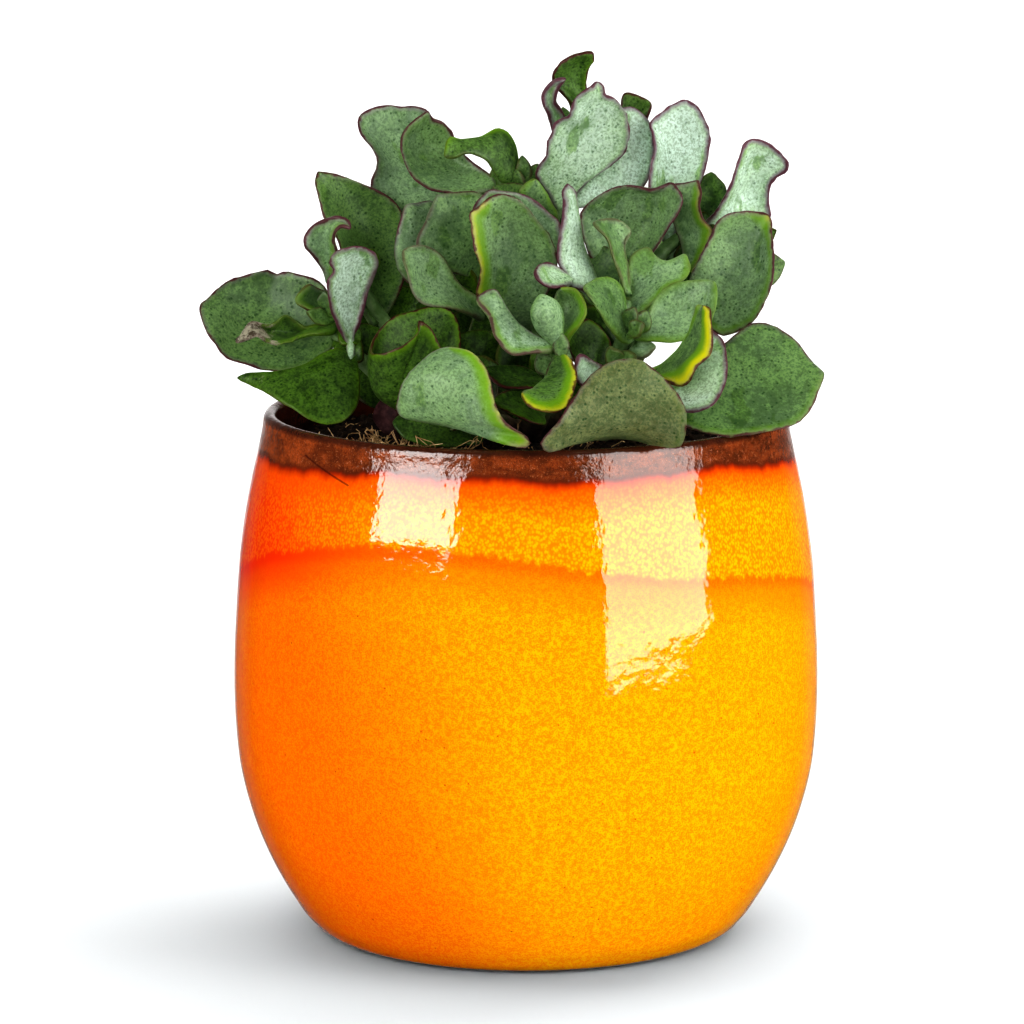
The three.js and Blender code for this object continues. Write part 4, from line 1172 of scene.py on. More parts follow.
# Upper left shoot. A big dark leaf bends back behind it, and a small curly one turns its yellow
# green margin to the front. The leaves between them are still small.
curly_leaf(
    "upper_left_dark", foot=(-45, 56, 4), tip=(-62.4, 102.1, -3), pale=0.24, pointed=True,
    yellow=(0.1, 0.1),
    left=[(-50, 62, 7), (-52, 70, 8), (-55.2, 78, 6), (-57.6, 85, 4), (-60.3, 88.6, 3), (-62.4, 94.3, 1),
          (-63.3, 98.9, -1)],
    middle=[(-44.6, 66, -3), (-47, 78, -8), (-52, 90, -9), (-57, 97, -6)],
    right=[(-39.5, 63, 0), (-36.4, 70, -4), (-35.6, 78, -7), (-36, 86, -9), (-38.2, 91.8, -9),
           (-43.5, 96, -9), (-48.5, 98.4, -8), (-53.5, 100.3, -7), (-58, 101.5, -5)],
)
curly_leaf(
    "upper_left_curly", foot=(-58.5, 69.5, 8), tip=(-52.6, 85.2, 19), pale=0.57, pointed=True,
    yellow=(0, 0.5), waver=0.0004,
    left=[(-61, 72.5, 11), (-62.7, 75.3, 14), (-64.8, 77.7, 16), (-66.2, 79.4, 18), (-66.5, 82, 18),
          (-65.3, 84.3, 17), (-63.3, 86.4, 16), (-60, 87.6, 15), (-55.6, 88.5, 16), (-53, 87, 18)],
    middle=[(-59.6, 73.5, 10.5), (-60.8, 78.5, 13), (-60.6, 83.5, 13.5), (-57.5, 86.4, 14.5)],
    right=[(-57.4, 72.5, 11), (-56.6, 76, 14), (-56.8, 79, 17), (-57.6, 81.8, 19), (-57.2, 84.2, 20),
           (-55.6, 85.8, 20)],
)
small_leaves("upper_left_small", 220, [
    ((-50, 68, 5), (-56, 76, 4), 7, (-0.5, 0.3, 1), 0.25),
    ((-50, 70, 4), (-46, 79, 2), 7, (0.5, 0.3, 1), 0),
    ((-30, 46, -6), (-47, 66, -12), 22, (0.2, 0.1, 1), 0),
    ((-26, 44, -12), (-34, 72, -18), 24, (0.2, 0, 1), 0),
    ((-46, 60, 0), (-56, 72, -4), 10, (-0.3, 0.3, 1), 0),
])


# Top left shoot. Two tall leaves stand one before the other, and a third arches over them with its
# margin rolled in. Two rounder leaves sit below them, on the same branch.
curly_leaf(
    "top_left_tall", foot=(-22, 88, -11), tip=(-41, 122.1, -26), pale=0.56, jagged=1.6,
    left=[(-34, 89, -15), (-42, 92, -15), (-46.2, 96, -15), (-46.6, 99.3, -15), (-45.1, 102.4, -15),
          (-45.1, 106.4, -15.5), (-46.9, 109.8, -16), (-49.6, 113.4, -16), (-50.3, 116.7, -18),
          (-49.1, 119.4, -20), (-45.7, 121.3, -23)],
    middle=[(-31, 95, -18), (-35.5, 103, -23), (-39.5, 112, -26)],
    right=[(-26, 95, -20), (-27, 103, -24), (-28, 110, -27), (-28.8, 116, -29), (-29.5, 120.3, -29),
           (-33.7, 121.8, -28), (-37.3, 121.6, -27)],
)
curly_leaf(
    "top_left_broad", foot=(-10, 96.5, -4), tip=(-29.3, 120.1, -10), pale=0.44, yellow=(0.15, 0),
    jagged=1.5,
    left=[(-17, 95.2, -1), (-24.8, 95.9, 0), (-28.5, 96.7, 0), (-32.4, 99.2, -1), (-35.4, 102.3, -2),
          (-37.2, 106.3, -4), (-37.7, 109.9, -5), (-36.9, 113.3, -7), (-35.1, 116.2, -8),
          (-32.3, 118.6, -9)],
    middle=[(-17, 99, -9), (-23.5, 103.5, -13), (-28.6, 109, -15), (-30.4, 115, -13)],
    right=[(-9.5, 100, -7), (-12.5, 102.6, -9), (-16, 105, -11), (-19, 108, -12), (-21.2, 111.6, -13),
           (-22.8, 114.6, -13), (-25, 116.7, -13), (-27.8, 117.8, -12)],
)
curly_leaf(
    "top_left_arched", foot=(-3.5, 97, -5), tip=(-24.4, 106.6, 9), pale=0.14, edged=0.35,
    yellow=(0.1, 0.35), waver=0.0004,
    left=[(-7.6, 98.8, -1), (-10, 102.2, 3), (-12.2, 105.4, 5), (-14.8, 106.8, 6), (-17, 107.4, 7),
          (-19, 107.2, 8), (-21.4, 106.2, 9)],
    middle=[(-5, 103.5, -2), (-8.5, 109.6, 0), (-14.5, 110.4, 3), (-20, 109.4, 6)],
    right=[(-1.8, 101.2, -6), (-2.7, 105.7, -6), (-3.4, 110.3, -6), (-4.9, 113.3, -5), (-8.4, 115.1, -4),
           (-11.8, 113.6, -2), (-14.6, 112, 0), (-17.8, 111.7, 1), (-20.6, 111.6, 3), (-22.9, 112.6, 5),
           (-24.3, 109.6, 8)],
)
curly_leaf(
    "top_left_round", foot=(-15.6, 71, 0), tip=(-26.9, 95.2, 5), pale=0.42, pointed=True, yellow=(0.1, 0.2),
    left=[(-25, 73, 11), (-32.2, 78, 12), (-33, 81, 12), (-30.6, 86.3, 10), (-28.6, 91.5, 7)],
    middle=[(-20, 80, 7), (-22.4, 88, 5)],
    right=[(-10.8, 78.6, 1), (-9.5, 86, 0), (-11, 93, 0), (-15, 96, 0.5), (-21.2, 96, 2)],
)
curly_leaf(
    "top_left_behind", foot=(-21, 68, -2), tip=(-36.2, 91.9, 4), pale=0.55,
    left=[(-36.3, 69.6, 7), (-38.6, 73.5, 7), (-39.5, 79, 6), (-38.8, 84, 6), (-37.4, 89, 5)],
    middle=[(-32.4, 80, 5), (-33.6, 87, 4)],
    right=[(-25.8, 74, -2), (-24.5, 83, -4), (-25, 90, -4), (-28.3, 93.3, -3), (-32.8, 92.8, 0)],
)
small_leaves("top_left_small", 240, [
    ((-14, 60, -3), (-25, 78, -1), 12, (-0.3, 0.1, 1), 0),
    ((-14, 56, -4), (-33, 62, -4), 14, (0, 0.6, 1), 0),
    ((-10, 50, -6), (-25, 56, 6), 12, (0, 0.8, 1), 0),
    ((-14, 90, -8), (-4.6, 108, -12), 6, (0.2, 0.1, 1), 0.25),
])


# Top shoot. A broad pale leaf with a wavy margin faces the front. A dark one and a small curl rise
# over it, and two more stand half hidden behind.
curly_leaf(
    "top_pale", foot=(10, 91, -6), tip=(21.5, 129.1, 1), pale=0.86, edged=1, jagged=2.2,
    left=[(6.4, 95.4, -3), (3.6, 99.4, 0), (2.7, 102.3, 2), (4.6, 104.9, 3), (6.1, 107.4, 4), (6, 110.2, 5),
          (7.6, 113.5, 5), (8.6, 116.3, 5), (10.6, 117.9, 5), (12.7, 118.6, 5), (13.8, 121, 5),
          (14.3, 123.7, 5), (16.6, 126, 4), (19.2, 127.4, 3)],
    middle=[(12.4, 96, -7), (15, 103, -5), (18, 110, -4), (20, 117, -3), (21.4, 124, -1)],
    right=[(15.4, 96, -8), (18, 98.4, -8), (21, 100.6, -8), (25, 103.4, -8), (28.3, 105.9, -8),
           (30.2, 108.9, -7), (31.2, 112.6, -6), (30.9, 116.7, -5), (29.7, 120.7, -3), (27.8, 123.4, -2),
           (25.3, 124.7, -1), (23.9, 125, -1), (23.5, 127.4, 0)],
)
curly_leaf(
    "top_curl", foot=(10.8, 112, -10), tip=(12, 130, -2), pale=1, waver=0.0003, yellow=(0.1, 0.4),
    left=[(8, 114, -7), (7.3, 117, -4), (6.8, 119.3, -2), (5.4, 122, -1), (4.9, 124.8, -1),
          (6.4, 127.5, -1), (9, 129.7, -1)],
    middle=[(9.6, 117, -7), (8, 120.6, -5), (6.9, 124.2, -4), (8.6, 128, -3)],
    right=[(11.4, 115.4, -8), (11.7, 118.6, -7), (10.4, 120.9, -5), (8.8, 122.8, -3), (9.2, 125.8, -2),
           (10.5, 128.2, -2)],
)
curly_leaf(
    "top_dark", foot=(15.4, 117, -13), tip=(20.2, 137.6, -10), pale=0.04, edged=0.9, yellow=(0, 0.25),
    jagged=1.8,
    left=[(13.6, 121.8, -11), (10.8, 125.5, -9), (8.3, 129, -8), (8.1, 131.5, -7), (9.6, 133.8, -7),
          (12.5, 136.1, -8), (16, 137.4, -9)],
    middle=[(15.6, 123, -14), (14, 129, -13), (15.6, 134.6, -12)],
    right=[(18.4, 121.5, -14), (18.3, 126, -14), (18.3, 130, -13), (19, 133, -12), (20.4, 135.6, -11)],
)
curly_leaf(
    "top_behind", foot=(14, 92, -13), tip=(31.6, 121.6, -19), pale=1,
    left=[(17, 99, -15), (21.5, 108, -16), (25, 115.5, -17), (28.4, 121, -18)],
    middle=[(21, 96, -15.5), (27, 104, -16.5), (31, 113, -18)],
    right=[(25, 92.5, -16), (32, 94.5, -17), (36.2, 98.6, -18), (37.8, 103, -19), (38.5, 108, -20),
           (38.2, 113, -21), (36.9, 117.3, -21), (34.6, 119.9, -20)],
)
hidden_rails = seen_rails(
    foot=(31, 104, -24), tip=(29, 125, -25),
    left=[(28.6, 112, -24), (28.3, 119, -24), (28.7, 124, -25)],
    middle=[(32.4, 112, -26), (32.6, 120, -26)],
    right=[(35.6, 112, -24), (36.4, 118.2, -24), (37.8, 122.6, -25), (34.5, 124.7, -25)],
)
hidden_leaf = blade_mesh("small_behind_top", *hidden_rails, len(leaf_order), pale=0.1)
add_leaf("fine_small_behind_top", hidden_leaf)
small_leaves("top_shoot_small", 260, [
    ((0, 97, -5), (-1.2, 107, -3), 4.6, (0, 0, 1), 0.25),
    ((0, 97, -5), (3.6, 104.5, -4), 4.8, (0.3, 0, 1), 0.25),
    ((0, 96, -5), (-3, 103, -2), 4.4, (-0.5, 0, 1), 0.25),
    ((14, 100, -13), (11, 121.5, -13), 7, (0.4, 0, 1), 0.25),
    ((12, 84, -14), (2, 96, -14), 12, (0, 0.3, 1), 0),
    ((4, 88, -6), (-10, 97.5, 2), 9, (0, 0.6, 1), 0.2),
])


# Top right shoot. Two tall leaves, white with wax, over a big round one that leans to the right.
# The narrow leaf between them is folded along its middle.
curly_leaf(
    "top_right_round", foot=(42.4, 81, -15), tip=(48, 123.6, -21), pale=1, edged=1, jagged=2.0,
    left=[(37.5, 92, -12), (36.9, 98, -11), (37.8, 104, -11), (38.5, 109, -12), (38.1, 113, -13),
          (37.3, 116.6, -15), (40.2, 119.6, -18), (44.4, 122.5, -20)],
    middle=[(43.4, 92, -18), (44.6, 102, -20), (45.6, 111, -22), (46.8, 118, -22)],
    right=[(48.5, 90, -14), (52.5, 98, -14), (54, 103.5, -15), (55, 109.5, -17), (55.3, 114, -18),
           (53.3, 118.6, -19), (51, 122, -20.5)],
)
curly_leaf(
    "top_right_tall", foot=(53, 84.5, -13), tip=(69.2, 111.8, -10), pale=1, edged=1, jagged=1.8,
    yellow=(0.25, 0),
    left=[(56.4, 89.4, -8), (59, 93.8, -7), (61.3, 97.7, -6), (62.6, 101.5, -6), (64, 106, -7),
          (65.1, 109.8, -8), (66.7, 111.5, -9)],
    middle=[(61, 88, -13), (66.4, 97, -16), (69.4, 105, -14)],
    right=[(66, 83, -14), (73.4, 88.5, -15), (72.8, 94, -15), (73.4, 98, -14), (75.2, 100.5, -13),
           (77.8, 102, -12), (78.7, 104, -11), (76.7, 107.1, -10), (73.6, 110, -10)],
)
curly_leaf(
    "top_right_narrow", foot=(49, 73, -6), tip=(51.6, 99.6, -6), pale=0.62, pointed=True,
    yellow=(0.25, 0.9),
    left=[(46.5, 80, -6), (44, 87, -7), (42.8, 93, -8), (43.8, 98.2, -8), (47.4, 98.8, -7)],
    middle=[(50.4, 79, -5), (48.4, 87, -6), (48.2, 94, -6)],
    right=[(52.4, 75.4, -3), (55.6, 81.4, 1), (56, 85, 2), (53.4, 87.6, 2), (51.9, 91.6, 1),
           (52.6, 95.4, -2)],
)
curly_leaf(
    "right_big_round", foot=(48, 62.6, 4), tip=(72.9, 89, 1), pale=0.5, yellow=(0.1, 0.4), ripe_tip=0.9,
    jagged=1.6,
    left=[(49.4, 71.3, 4), (50.7, 74, 4), (53, 78.5, 4), (55.6, 83.1, 4), (57.3, 87, 4), (60.5, 89.6, 3),
          (63.8, 90.3, 2), (68.3, 90.2, 1)],
    middle=[(57, 65.4, 4), (66, 77, 0)],
    right=[(57.3, 53.5, 12), (59.2, 52.8, 12.5), (62.5, 53.8, 13), (67.6, 56.4, 14), (71.6, 62.2, 13.5),
           (74, 69.4, 12), (74.3, 76.5, 9), (73.8, 83.1, 5), (73.5, 87.6, 2)],
)
small_leaves("top_right_small", 280, [
    ((53, 84, -16), (55.6, 102, -18), 10.5, (0.2, 0, 1), 0.2),
    ((48, 74, -14), (54, 90, -12), 12, (-0.2, 0.2, 1), 0),
    ((46, 66, -12), (54, 80, -16), 16, (0.2, 0.2, 1), 0),
    ((60, 78, -16), (75.2, 84.6, -16), 6, (0.4, 0.1, 1), 0),
    ((60, 69, -14), (77.6, 75, -15), 11, (0.2, 0.2, 1), 0.25),
])


# Middle of the plant. A big leaf with a yellow margin at its left, and the lip of the leaf behind
# it. To the right stand a big dark leaf and small curly ones, with young pairs between them.
curly_leaf(
    "centre_big", foot=(0, 54, 2), tip=(-10.5, 94.6, 24), pale=0.48, yellow=(0.95, 0.15), jagged=1.6,
    left=[(-9, 58, 16), (-14.8, 65.4, 25), (-14.5, 68.3, 26), (-13.9, 73, 27), (-15.1, 77.3, 28),
          (-16.3, 84.7, 28), (-16.7, 90.1, 27), (-14.4, 91.6, 26)],
    middle=[(-4.2, 66.6, 18), (-5.2, 82, 19)],
    right=[(5.7, 63.6, 17), (9.4, 76, 20), (8.8, 79.6, 20.5), (7.2, 83.4, 21), (3.9, 87.4, 21.5),
           (0, 92.2, 22), (-3.9, 94.9, 22.5), (-7.4, 95.5, 23)],
)
curly_leaf(
    "centre_lip", foot=(1.6, 70, -1), tip=(-10.5, 96.8, 14), pale=0.7, edged=1,
    left=[(-7.8, 77, 10), (-15, 87, 15), (-16, 90.8, 16), (-15.1, 92.8, 16), (-13.3, 94.8, 15)],
    middle=[(-0.6, 80, 6), (-4.6, 90, 10)],
    right=[(10, 75.5, 5), (10.5, 84, 7), (9.8, 87.6, 7), (7.2, 89.6, 8), (3.3, 93.1, 9), (-0.6, 95.3, 10),
           (-3.9, 96.1, 11), (-7.7, 96.4, 13)],
)
curly_leaf(
    "centre_bright", foot=(5.6, 84, -5), tip=(2.6, 100, 3), pale=0.4, edged=0.4, yellow=(0.4, 0.4),
    waver=0.0003,
    left=[(1.5, 88, 0), (-1.5, 93, 3), (-2.2, 96.3, 4), (-0.8, 98.2, 4)],
    middle=[(4, 90, 0), (3.4, 95, 2)],
    right=[(9, 85, -4), (9.6, 89.5, -2), (7.6, 93, 0), (5, 97.4, 1.5)],
)
curly_leaf(
    "centre_dark", foot=(29, 66, -3), tip=(43.7, 98.8, 8), pale=0.48, yellow=(0.1, 0.1),
    left=[(23, 71, 3), (18.4, 78, 7), (16.4, 85, 9), (16.5, 90.2, 9), (19.9, 93.9, 9), (24, 96.6, 8),
          (29.6, 98.1, 7), (34, 97.6, 6), (37.7, 96.7, 6), (40.8, 97.6, 7)],
    middle=[(28.6, 76, 2), (31.6, 84, 1), (36, 91.4, 2)],
    right=[(34.6, 72.6, 6), (38.3, 78.6, 9), (41.1, 82.8, 10), (44, 87, 11), (46.5, 91, 12),
           (47.2, 93.4, 12), (46, 96, 11)],
)
curly_leaf(
    "centre_tall", foot=(23, 62, 26), tip=(12.4, 98.6, 26), pale=0.95, pointed=True, waver=0.0004,
    yellow=(0, 0.3),
    left=[(17.6, 66.6, 31), (13.4, 67.4, 32), (11.6, 69.2, 32), (10.9, 72, 31), (9.4, 75, 31),
          (9.4, 79, 31), (10.2, 84, 31), (11, 89, 30), (11.3, 93, 28), (11, 96.5, 27)],
    middle=[(17.4, 69, 28), (14.4, 78, 26.5), (13.4, 88, 27)],
    right=[(22.8, 66.5, 23), (20.6, 72, 22), (18, 78.2, 22), (16.6, 83, 22), (15.8, 88.5, 23),
           (15.3, 93.2, 24), (14.6, 96.8, 25)],
)
curly_leaf(
    "centre_small", foot=(13.4, 68.6, 34), tip=(2.6, 71.8, 43), pale=0.8, waver=0.0002,
    left=[(10.8, 67.4, 41), (8, 67.3, 43), (5.5, 67.9, 44.5), (3.5, 69.5, 44.5)],
    middle=[(10, 69.6, 36), (7, 70.6, 37), (4.6, 71.4, 40)],
    right=[(12.4, 71.4, 33), (10, 73.4, 34), (7.5, 74.8, 35), (5, 74.7, 37), (3.3, 73.7, 40)],
)
curly_leaf(
    "centre_curly", foot=(30.2, 65, 28), tip=(20.2, 86.6, 28), pale=0.5, edged=0.45, waver=0.0003,
    yellow=(0.2, 0.1),
    left=[(28.6, 70, 30), (26, 76.6, 31), (24.7, 81.1, 31), (21.6, 84.8, 30)],
    middle=[(29.6, 72, 24), (27.4, 80, 22), (25, 84.6, 23)],
    right=[(30.8, 68.7, 27), (30.5, 73.3, 24), (29.4, 77, 22), (29.6, 81, 21), (31.6, 84.4, 20),
           (29.3, 87, 20), (24.7, 88, 23)],
)
curly_leaf(
    "left_centre_pale", foot=(-11.5, 57.5, 2), tip=(-36.8, 78.7, 22), pale=0.6, edged=0.5, waver=0.0005,
    left=[(-19, 60.2, 20), (-25.7, 61.5, 25), (-30.8, 62.3, 27), (-33.3, 64.6, 28), (-34.9, 68, 28),
          (-35.8, 71.6, 27), (-36.8, 75.9, 25)],
    middle=[(-20, 64, 13), (-27, 69, 17), (-32, 75, 19)],
    right=[(-14.6, 64.8, 10), (-18.8, 67.5, 12), (-21.6, 71, 14), (-23.4, 74.4, 15), (-25.3, 77.2, 16),
           (-28.2, 79.2, 17), (-31, 80.1, 19), (-34.4, 79.8, 21)],
)
plain_leaf("middle_shade", pale=0)
small_leaves("middle_small", 300, [
    ((-8, 40, 4), (-22, 52, 12), 15, (0, 0.7, 1), 0),
    ((0, 38, 6), (-7, 52, 14), 15, (0, 0.6, 1), 0),
    ((-2, 44, 2), (-14, 62, 4), 18, (0, 0.2, 1), 0),
    ((6, 50, 2), (14, 70, 2), 20, (0, 0.2, 1), 0),
    ((2, 36, 20), (10, 50, 16), 13, (0, 0, 1), 0),
    ((16, 46, 4), (26, 62, 8), 18, (0.1, 0.2, 1), 0),
    ((20, 44, 6), (36, 54, 6), 16, (0.2, 0.4, 1), 0),
    ((26, 56, 6), (22, 80, 4), 18, (0, 0.1, 1), 0.25),
    ((2, 54, -2), (-4, 78, -6), 18, (0, 0.1, 1), 0),
    ((30, 47, 30), (39, 49.5, 34), 6, (0.2, 0.6, 1), 0.7),
    ((8, 41, 44), (3.6, 47.4, 46), 6.5, (-0.2, 0.4, 1), 0.4),
    ((10.8, 45.2, 51), (10.2, 53.8, 52), 5, (0, 0, 1), 0.45),
    ((28, 44, 33), (25, 49.5, 40), 6, (-0.2, 0.4, 1), 0.35),
    ((27, 43, 33), (33, 47, 40), 6, (0.3, 0.6, 1), 0.35),
])


# Front leaves. They rest low over the rim: one rolled up like a trough, one broad and pale with a
# green margin, and one bronzed, shaped like a D. Two dark ones lie in their shade.
curly_leaf(
    "front_left_rolled", foot=(-18.8, 36.6, 37), tip=(-46.4, 48.2, 44), pale=0, yellow=(0.2, 0.3),
    waver=0.0004,
    left=[(-24.3, 61.4, 24), (-27.9, 62, 25), (-33.5, 60.5, 27), (-39.6, 58.7, 30), (-43, 55.9, 33),
          (-45.6, 51.6, 38)],
    middle=[(-29, 36, 34), (-37.6, 31.4, 40), (-44.4, 35.8, 42), (-46.6, 43.5, 42)],
    right=[(-22, 42, 46), (-26.5, 51.6, 48), (-28.6, 55.3, 48), (-32.2, 57.4, 48), (-31.9, 55.3, 49),
           (-33.5, 52.8, 50), (-36.5, 50.4, 51), (-42, 47.9, 50), (-45.6, 47.6, 47)],
)
curly_leaf(
    "front_left_pale", foot=(-15.4, 31.6, 42), tip=(-23.6, 49.5, 68), pale=0.52, yellow=(0.05, 0.8),
    left=[(-24, 27.4, 60), (-33.1, 27.5, 66), (-37.4, 28.5, 69), (-38.8, 29.7, 70), (-38.8, 33, 71),
          (-37.7, 37.3, 71.5), (-35.5, 41.1, 71), (-32.2, 44.5, 70), (-28.8, 47.9, 69)],
    middle=[(-20, 26, 62), (-24, 30, 77), (-24.3, 40, 78)],
    right=[(-10.6, 25.4, 66), (-8.7, 24.4, 72), (-5.9, 21.5, 79), (-3.5, 19.6, 84), (-0.6, 18.9, 86),
           (1.6, 20.4, 84), (0.6, 22.4, 82), (-4, 24.9, 84), (-6.8, 27.8, 84), (-8.7, 31.1, 83),
           (-9.7, 34.9, 81), (-10.4, 38.8, 78), (-11.6, 42.6, 75), (-13.5, 45.2, 73), (-15.9, 47.4, 71),
           (-20.2, 48.9, 69)],
)
curly_leaf(
    "front_left_under", foot=(-12, 26, 26), tip=(-40, 27, 38), pale=0.04, edged=0.1,
    left=[(-20, 31, 32), (-33, 31, 36)],
    middle=[(-24, 26, 36)],
    right=[(-14, 20.5, 36), (-22, 19.6, 40), (-32, 20.4, 42), (-37.5, 23, 41)],
)
curly_leaf(
    "front_right_d", foot=(29, 27.4, 41), tip=(29.8, 45.9, 76), pale=0.3, bronze=1, yellow=(0.05, 0.2),
    left=[(22, 21.6, 62), (15.4, 20.9, 72), (10.2, 19.3, 79), (5.4, 18.4, 85), (4, 20.6, 86),
          (6.1, 23.4, 86), (9, 26.3, 85.5), (11.4, 30.2, 84), (14.2, 34.4, 82), (17.1, 38.3, 80.5),
          (20.5, 42.1, 79), (23.7, 44.3, 77.5)],
    middle=[(28, 23, 62), (27.5, 27, 78), (28.4, 37, 80)],
    right=[(35, 21.4, 62), (39.1, 20.1, 70), (43.3, 19.1, 75), (46.4, 19.3, 77.5), (47.6, 22.7, 79.5),
           (48.2, 26.3, 80), (48.3, 29.4, 80), (47.4, 32.5, 79.5), (45.8, 35.1, 79), (43.8, 37.7, 78.5),
           (41.2, 40.5, 78), (38.1, 43.1, 77.5), (35, 45.4, 77)],
)
plain_leaf("front_right_pale_tip", pale=0.9)
plain_leaf("front_shade_upper", pale=0)
plain_leaf("front_shade_lower", pale=0)
small_leaves("front_small", 320, [
    ((-14, 30, 20), (-31, 40, 24), 16, (0, 0.8, 1), 0),
    ((-18, 36, 26), (-8, 44, 34), 12, (0, 0.8, 1), 0),
    ((-12, 28, 24), (-26, 24, 36), 14, (0, 1, 0.5), 0),
    ((0, 28, 26), (-8, 40, 36), 12, (0, 0.6, 1), 0),
    ((12, 30, 34), (18, 44, 44), 12, (0.2, 0.4, 1), 0),
    ((-30, 30, 4), (-51, 43, -4), 16, (-0.2, 0.4, 1), 0),
    ((-20, 28, 8), (-38, 38, 8), 14, (0, 0.7, 1), 0),
])


# Front rosette. The tip of the front branch, where new leaves open in crossed pairs: an oval young
# leaf and its partner, a wavy pale one, and one whose margin has turned yellow.
curly_leaf(
    "rosette_partner", foot=(10.3, 50, 46), tip=(10.4, 67.3, 42), pale=0.4, edged=0.3, waver=0.0002,
    yellow=(0, 0.6),
    left=[(8.8, 55, 44), (8.2, 60, 42), (8.6, 64.6, 41)],
    middle=[(12.6, 56, 43), (13.4, 61, 41), (12.6, 65, 41)],
    right=[(13.3, 53.4, 49), (16.2, 56.3, 51), (17.9, 59.4, 51), (17.6, 63.2, 49), (15.6, 66.2, 46),
           (12.8, 67.4, 43)],
)
curly_leaf(
    "rosette_oval", foot=(9.6, 50, 50), tip=(4.2, 65.2, 52.5), pale=0.62, edged=0, waver=0.0002,
    left=[(5.6, 52.8, 52), (2.5, 55.5, 54), (1.4, 59.2, 55), (2.2, 62.5, 54)],
    middle=[(7.2, 55, 55), (6, 60, 57)],
    right=[(10.9, 54.3, 50), (11.3, 58, 49.5), (10.4, 61.4, 49.5), (7.8, 64.1, 51)],
)
curly_leaf(
    "rosette_yellow", foot=(10.2, 47.6, 50), tip=(-1.4, 35.6, 72), pale=0.2, yellow=(1.0, 0.1),
    waver=0.0003,
    left=[(14.2, 44.5, 58), (15.4, 41.1, 62), (14.7, 37.6, 67), (13.7, 34, 71), (11.9, 31.1, 74),
          (8.5, 29.8, 77), (3.7, 30.4, 78), (0.8, 31.6, 77), (-1.1, 34, 74)],
    middle=[(9.8, 41, 58), (6, 36.6, 66), (2, 35, 70)],
    right=[(6.8, 44.1, 54), (5.6, 40, 58), (3.4, 37.6, 63), (1.2, 36.4, 68)],
)
plain_leaf("rosette_wavy", pale=0.7, edged=0.7, yellow=(0.5, 0))


# Right shoot. It ends in three buds with a hood-shaped and a broad young leaf around them. Below
# it, one leaf has a bright yellow margin, and the biggest leaf of all hangs out over the rim.
curly_leaf(
    "right_shoot_wavy", foot=(31.8, 58, 28), tip=(47.4, 77.4, 20), pale=0.6, edged=0.35, waver=0.0004,
    yellow=(0.2, 0.4),
    left=[(30.4, 66, 22), (30.3, 72, 20), (31.8, 77.4, 18), (34.6, 79.2, 17), (36.6, 79.6, 17),
          (38.4, 77.5, 19), (41.8, 75.4, 21), (44.6, 76.3, 21)],
    middle=[(34, 66, 22), (38, 71, 21), (43, 73, 23)],
    right=[(36, 60.8, 30), (39.5, 64, 30), (43, 67.8, 30), (47.4, 69.4, 29), (49.2, 72.3, 26),
           (49, 75.4, 23)],
)
curly_leaf(
    "right_shoot_hood", foot=(30.6, 51, 36), tip=(17.2, 67.6, 45), pale=0.36, edged=0.3, waver=0.0003,
    yellow=(0.1, 0.3),
    left=[(27, 52.8, 42), (24, 56.6, 46), (21.8, 60.2, 49), (19, 64.6, 49)],
    middle=[(27.6, 58.4, 38), (25, 64.4, 38), (21, 67.6, 41)],
    right=[(31, 56, 36), (29.8, 60, 34), (30, 64, 33), (28.6, 67.8, 33), (26, 70.2, 34), (22.8, 70.6, 36),
           (19.4, 69.2, 41)],
)
curly_leaf(
    "right_shoot_broad", foot=(32.4, 53, 35), tip=(56.4, 69.3, 33), pale=0.55, edged=0.2, waver=0.0004,
    yellow=(0.1, 0.3),
    left=[(35.6, 58, 34), (38.8, 64, 32), (41.6, 66.9, 31), (45.5, 68.9, 30), (50.7, 69.6, 31)],
    middle=[(43.2, 58.6, 32), (50.6, 62.6, 32)],
    right=[(37.7, 51.2, 38), (44.2, 51, 39.5), (49.5, 52, 40), (54.4, 55.5, 39.5), (56.6, 59.6, 38.5),
           (57.4, 64, 36.5)],
)
curly_leaf(
    "right_yellow", foot=(30.6, 42.6, 33), tip=(53.3, 62, 51), pale=0.3, edged=0.9, yellow=(0.7, 1.45),
    waver=0.0003,
    left=[(38.4, 43.6, 43), (41.7, 44.9, 44), (44.8, 47.5, 45), (47.4, 51.1, 46), (48.9, 53.9, 47),
          (49.9, 56.8, 48), (50.8, 59.9, 49), (51.5, 62.2, 50)],
    middle=[(40, 41, 47), (46, 45.5, 51), (51, 52, 52)],
    right=[(40, 39.6, 50), (43.3, 39, 54), (44.8, 38, 56), (46.9, 37.7, 58), (49.1, 39.2, 59.5),
           (50.1, 41.3, 60), (51.5, 43.9, 60), (54.1, 45.9, 60), (55.4, 47.5, 59), (56.1, 50.6, 58.5),
           (56.1, 53.7, 58), (55.7, 57.8, 56), (55.1, 61.4, 53)],
)
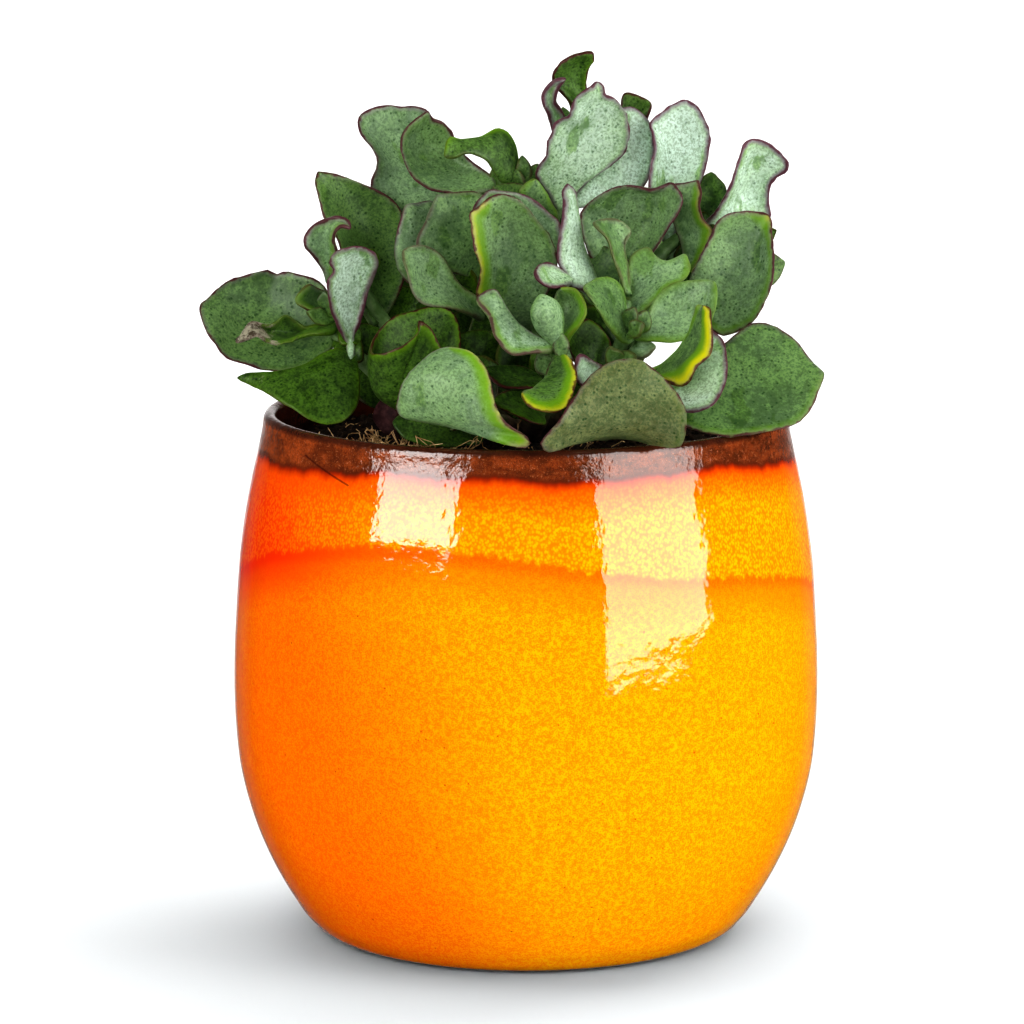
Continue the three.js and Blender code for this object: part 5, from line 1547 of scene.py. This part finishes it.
curly_leaf(
    "right_low_big", foot=(37, 31, 44), tip=(89.5, 41.5, 34), pale=0.32, yellow=(0, 0.3), jagged=1.3,
    left=[(50, 44, 36), (59.5, 50.6, 30), (63.4, 53.7, 27), (67, 56.5, 24), (70.6, 56.8, 23),
          (74.3, 56, 23), (77.9, 53.9, 24), (81.5, 51.1, 26), (84.1, 47.7, 28), (86.7, 44.4, 31)],
    middle=[(56, 34, 42), (72, 38, 36)],
    right=[(48.7, 25.3, 50), (51.5, 24.2, 52), (55.7, 23.2, 53), (60.8, 22.8, 53), (67, 23.5, 52),
           (72.2, 24.2, 50), (78.4, 25.3, 47), (82, 26.8, 45), (84.6, 29.4, 43), (86.7, 33, 41),
           (87.7, 36.1, 39), (89.2, 39.7, 36)],
)
plain_leaf("right_pale", pale=1)
small_leaves("right_shoot_bud", 340, [
    ((31, 53, 34), (32.6, 61.5, 40), 6.5, (-0.4, 0.2, 1), 0.25),
    ((31.4, 53, 36), (36.4, 60.5, 37), 6.5, (0.5, 0.2, 1), 0.25),
    ((31.6, 53, 38), (35.4, 56.5, 43), 5.5, (0.2, 0.6, 1), 0.25),
])


# Leaves at the back. They turn away from the front, and each keeps the lines of its CAD solid. Wax
# makes some of them paler than others.
for leaf in leaf_order:
    if leaf not in finished_leaves:
        plain_leaf(leaf, pale=0.12 + 0.4 * abs(math.sin(2.3 * leaf_order.index(leaf))))


# Fallen leaf. An old leaf that dropped from the plant. It has dried to a dull brown, and stands in
# the growing mix at the front left.
def fallen_leaf_skin():
    """Dull brown, with darker blotches."""
    material, shader, n = new_material("fallen_leaf")
    blotch = n.noise(n.place(), 260, 4, 0.6)
    brown = n.mix(n.rise(blotch, 0.4, 0.6), (0.035, 0.013, 0.014), (0.085, 0.034, 0.034))
    n.join(brown, shader.inputs["Base Color"])
    shader.inputs["Roughness"].default_value = 0.8
    shader.inputs["Specular IOR Level"].default_value = 0.2
    n.join(n.bump(blotch, 0.5, 0.0005), shader.inputs["Normal"])
    return material


fallen_rails = oval_rails(foot=(-38.6, 22, 26), tip=(-43.4, 33.5, 24), width=8, out=(-0.3, 0, 1))
add_leaf("fallen_leaf", blade_mesh("fallen_leaf", *fallen_rails, seed=400), fallen_leaf_skin())
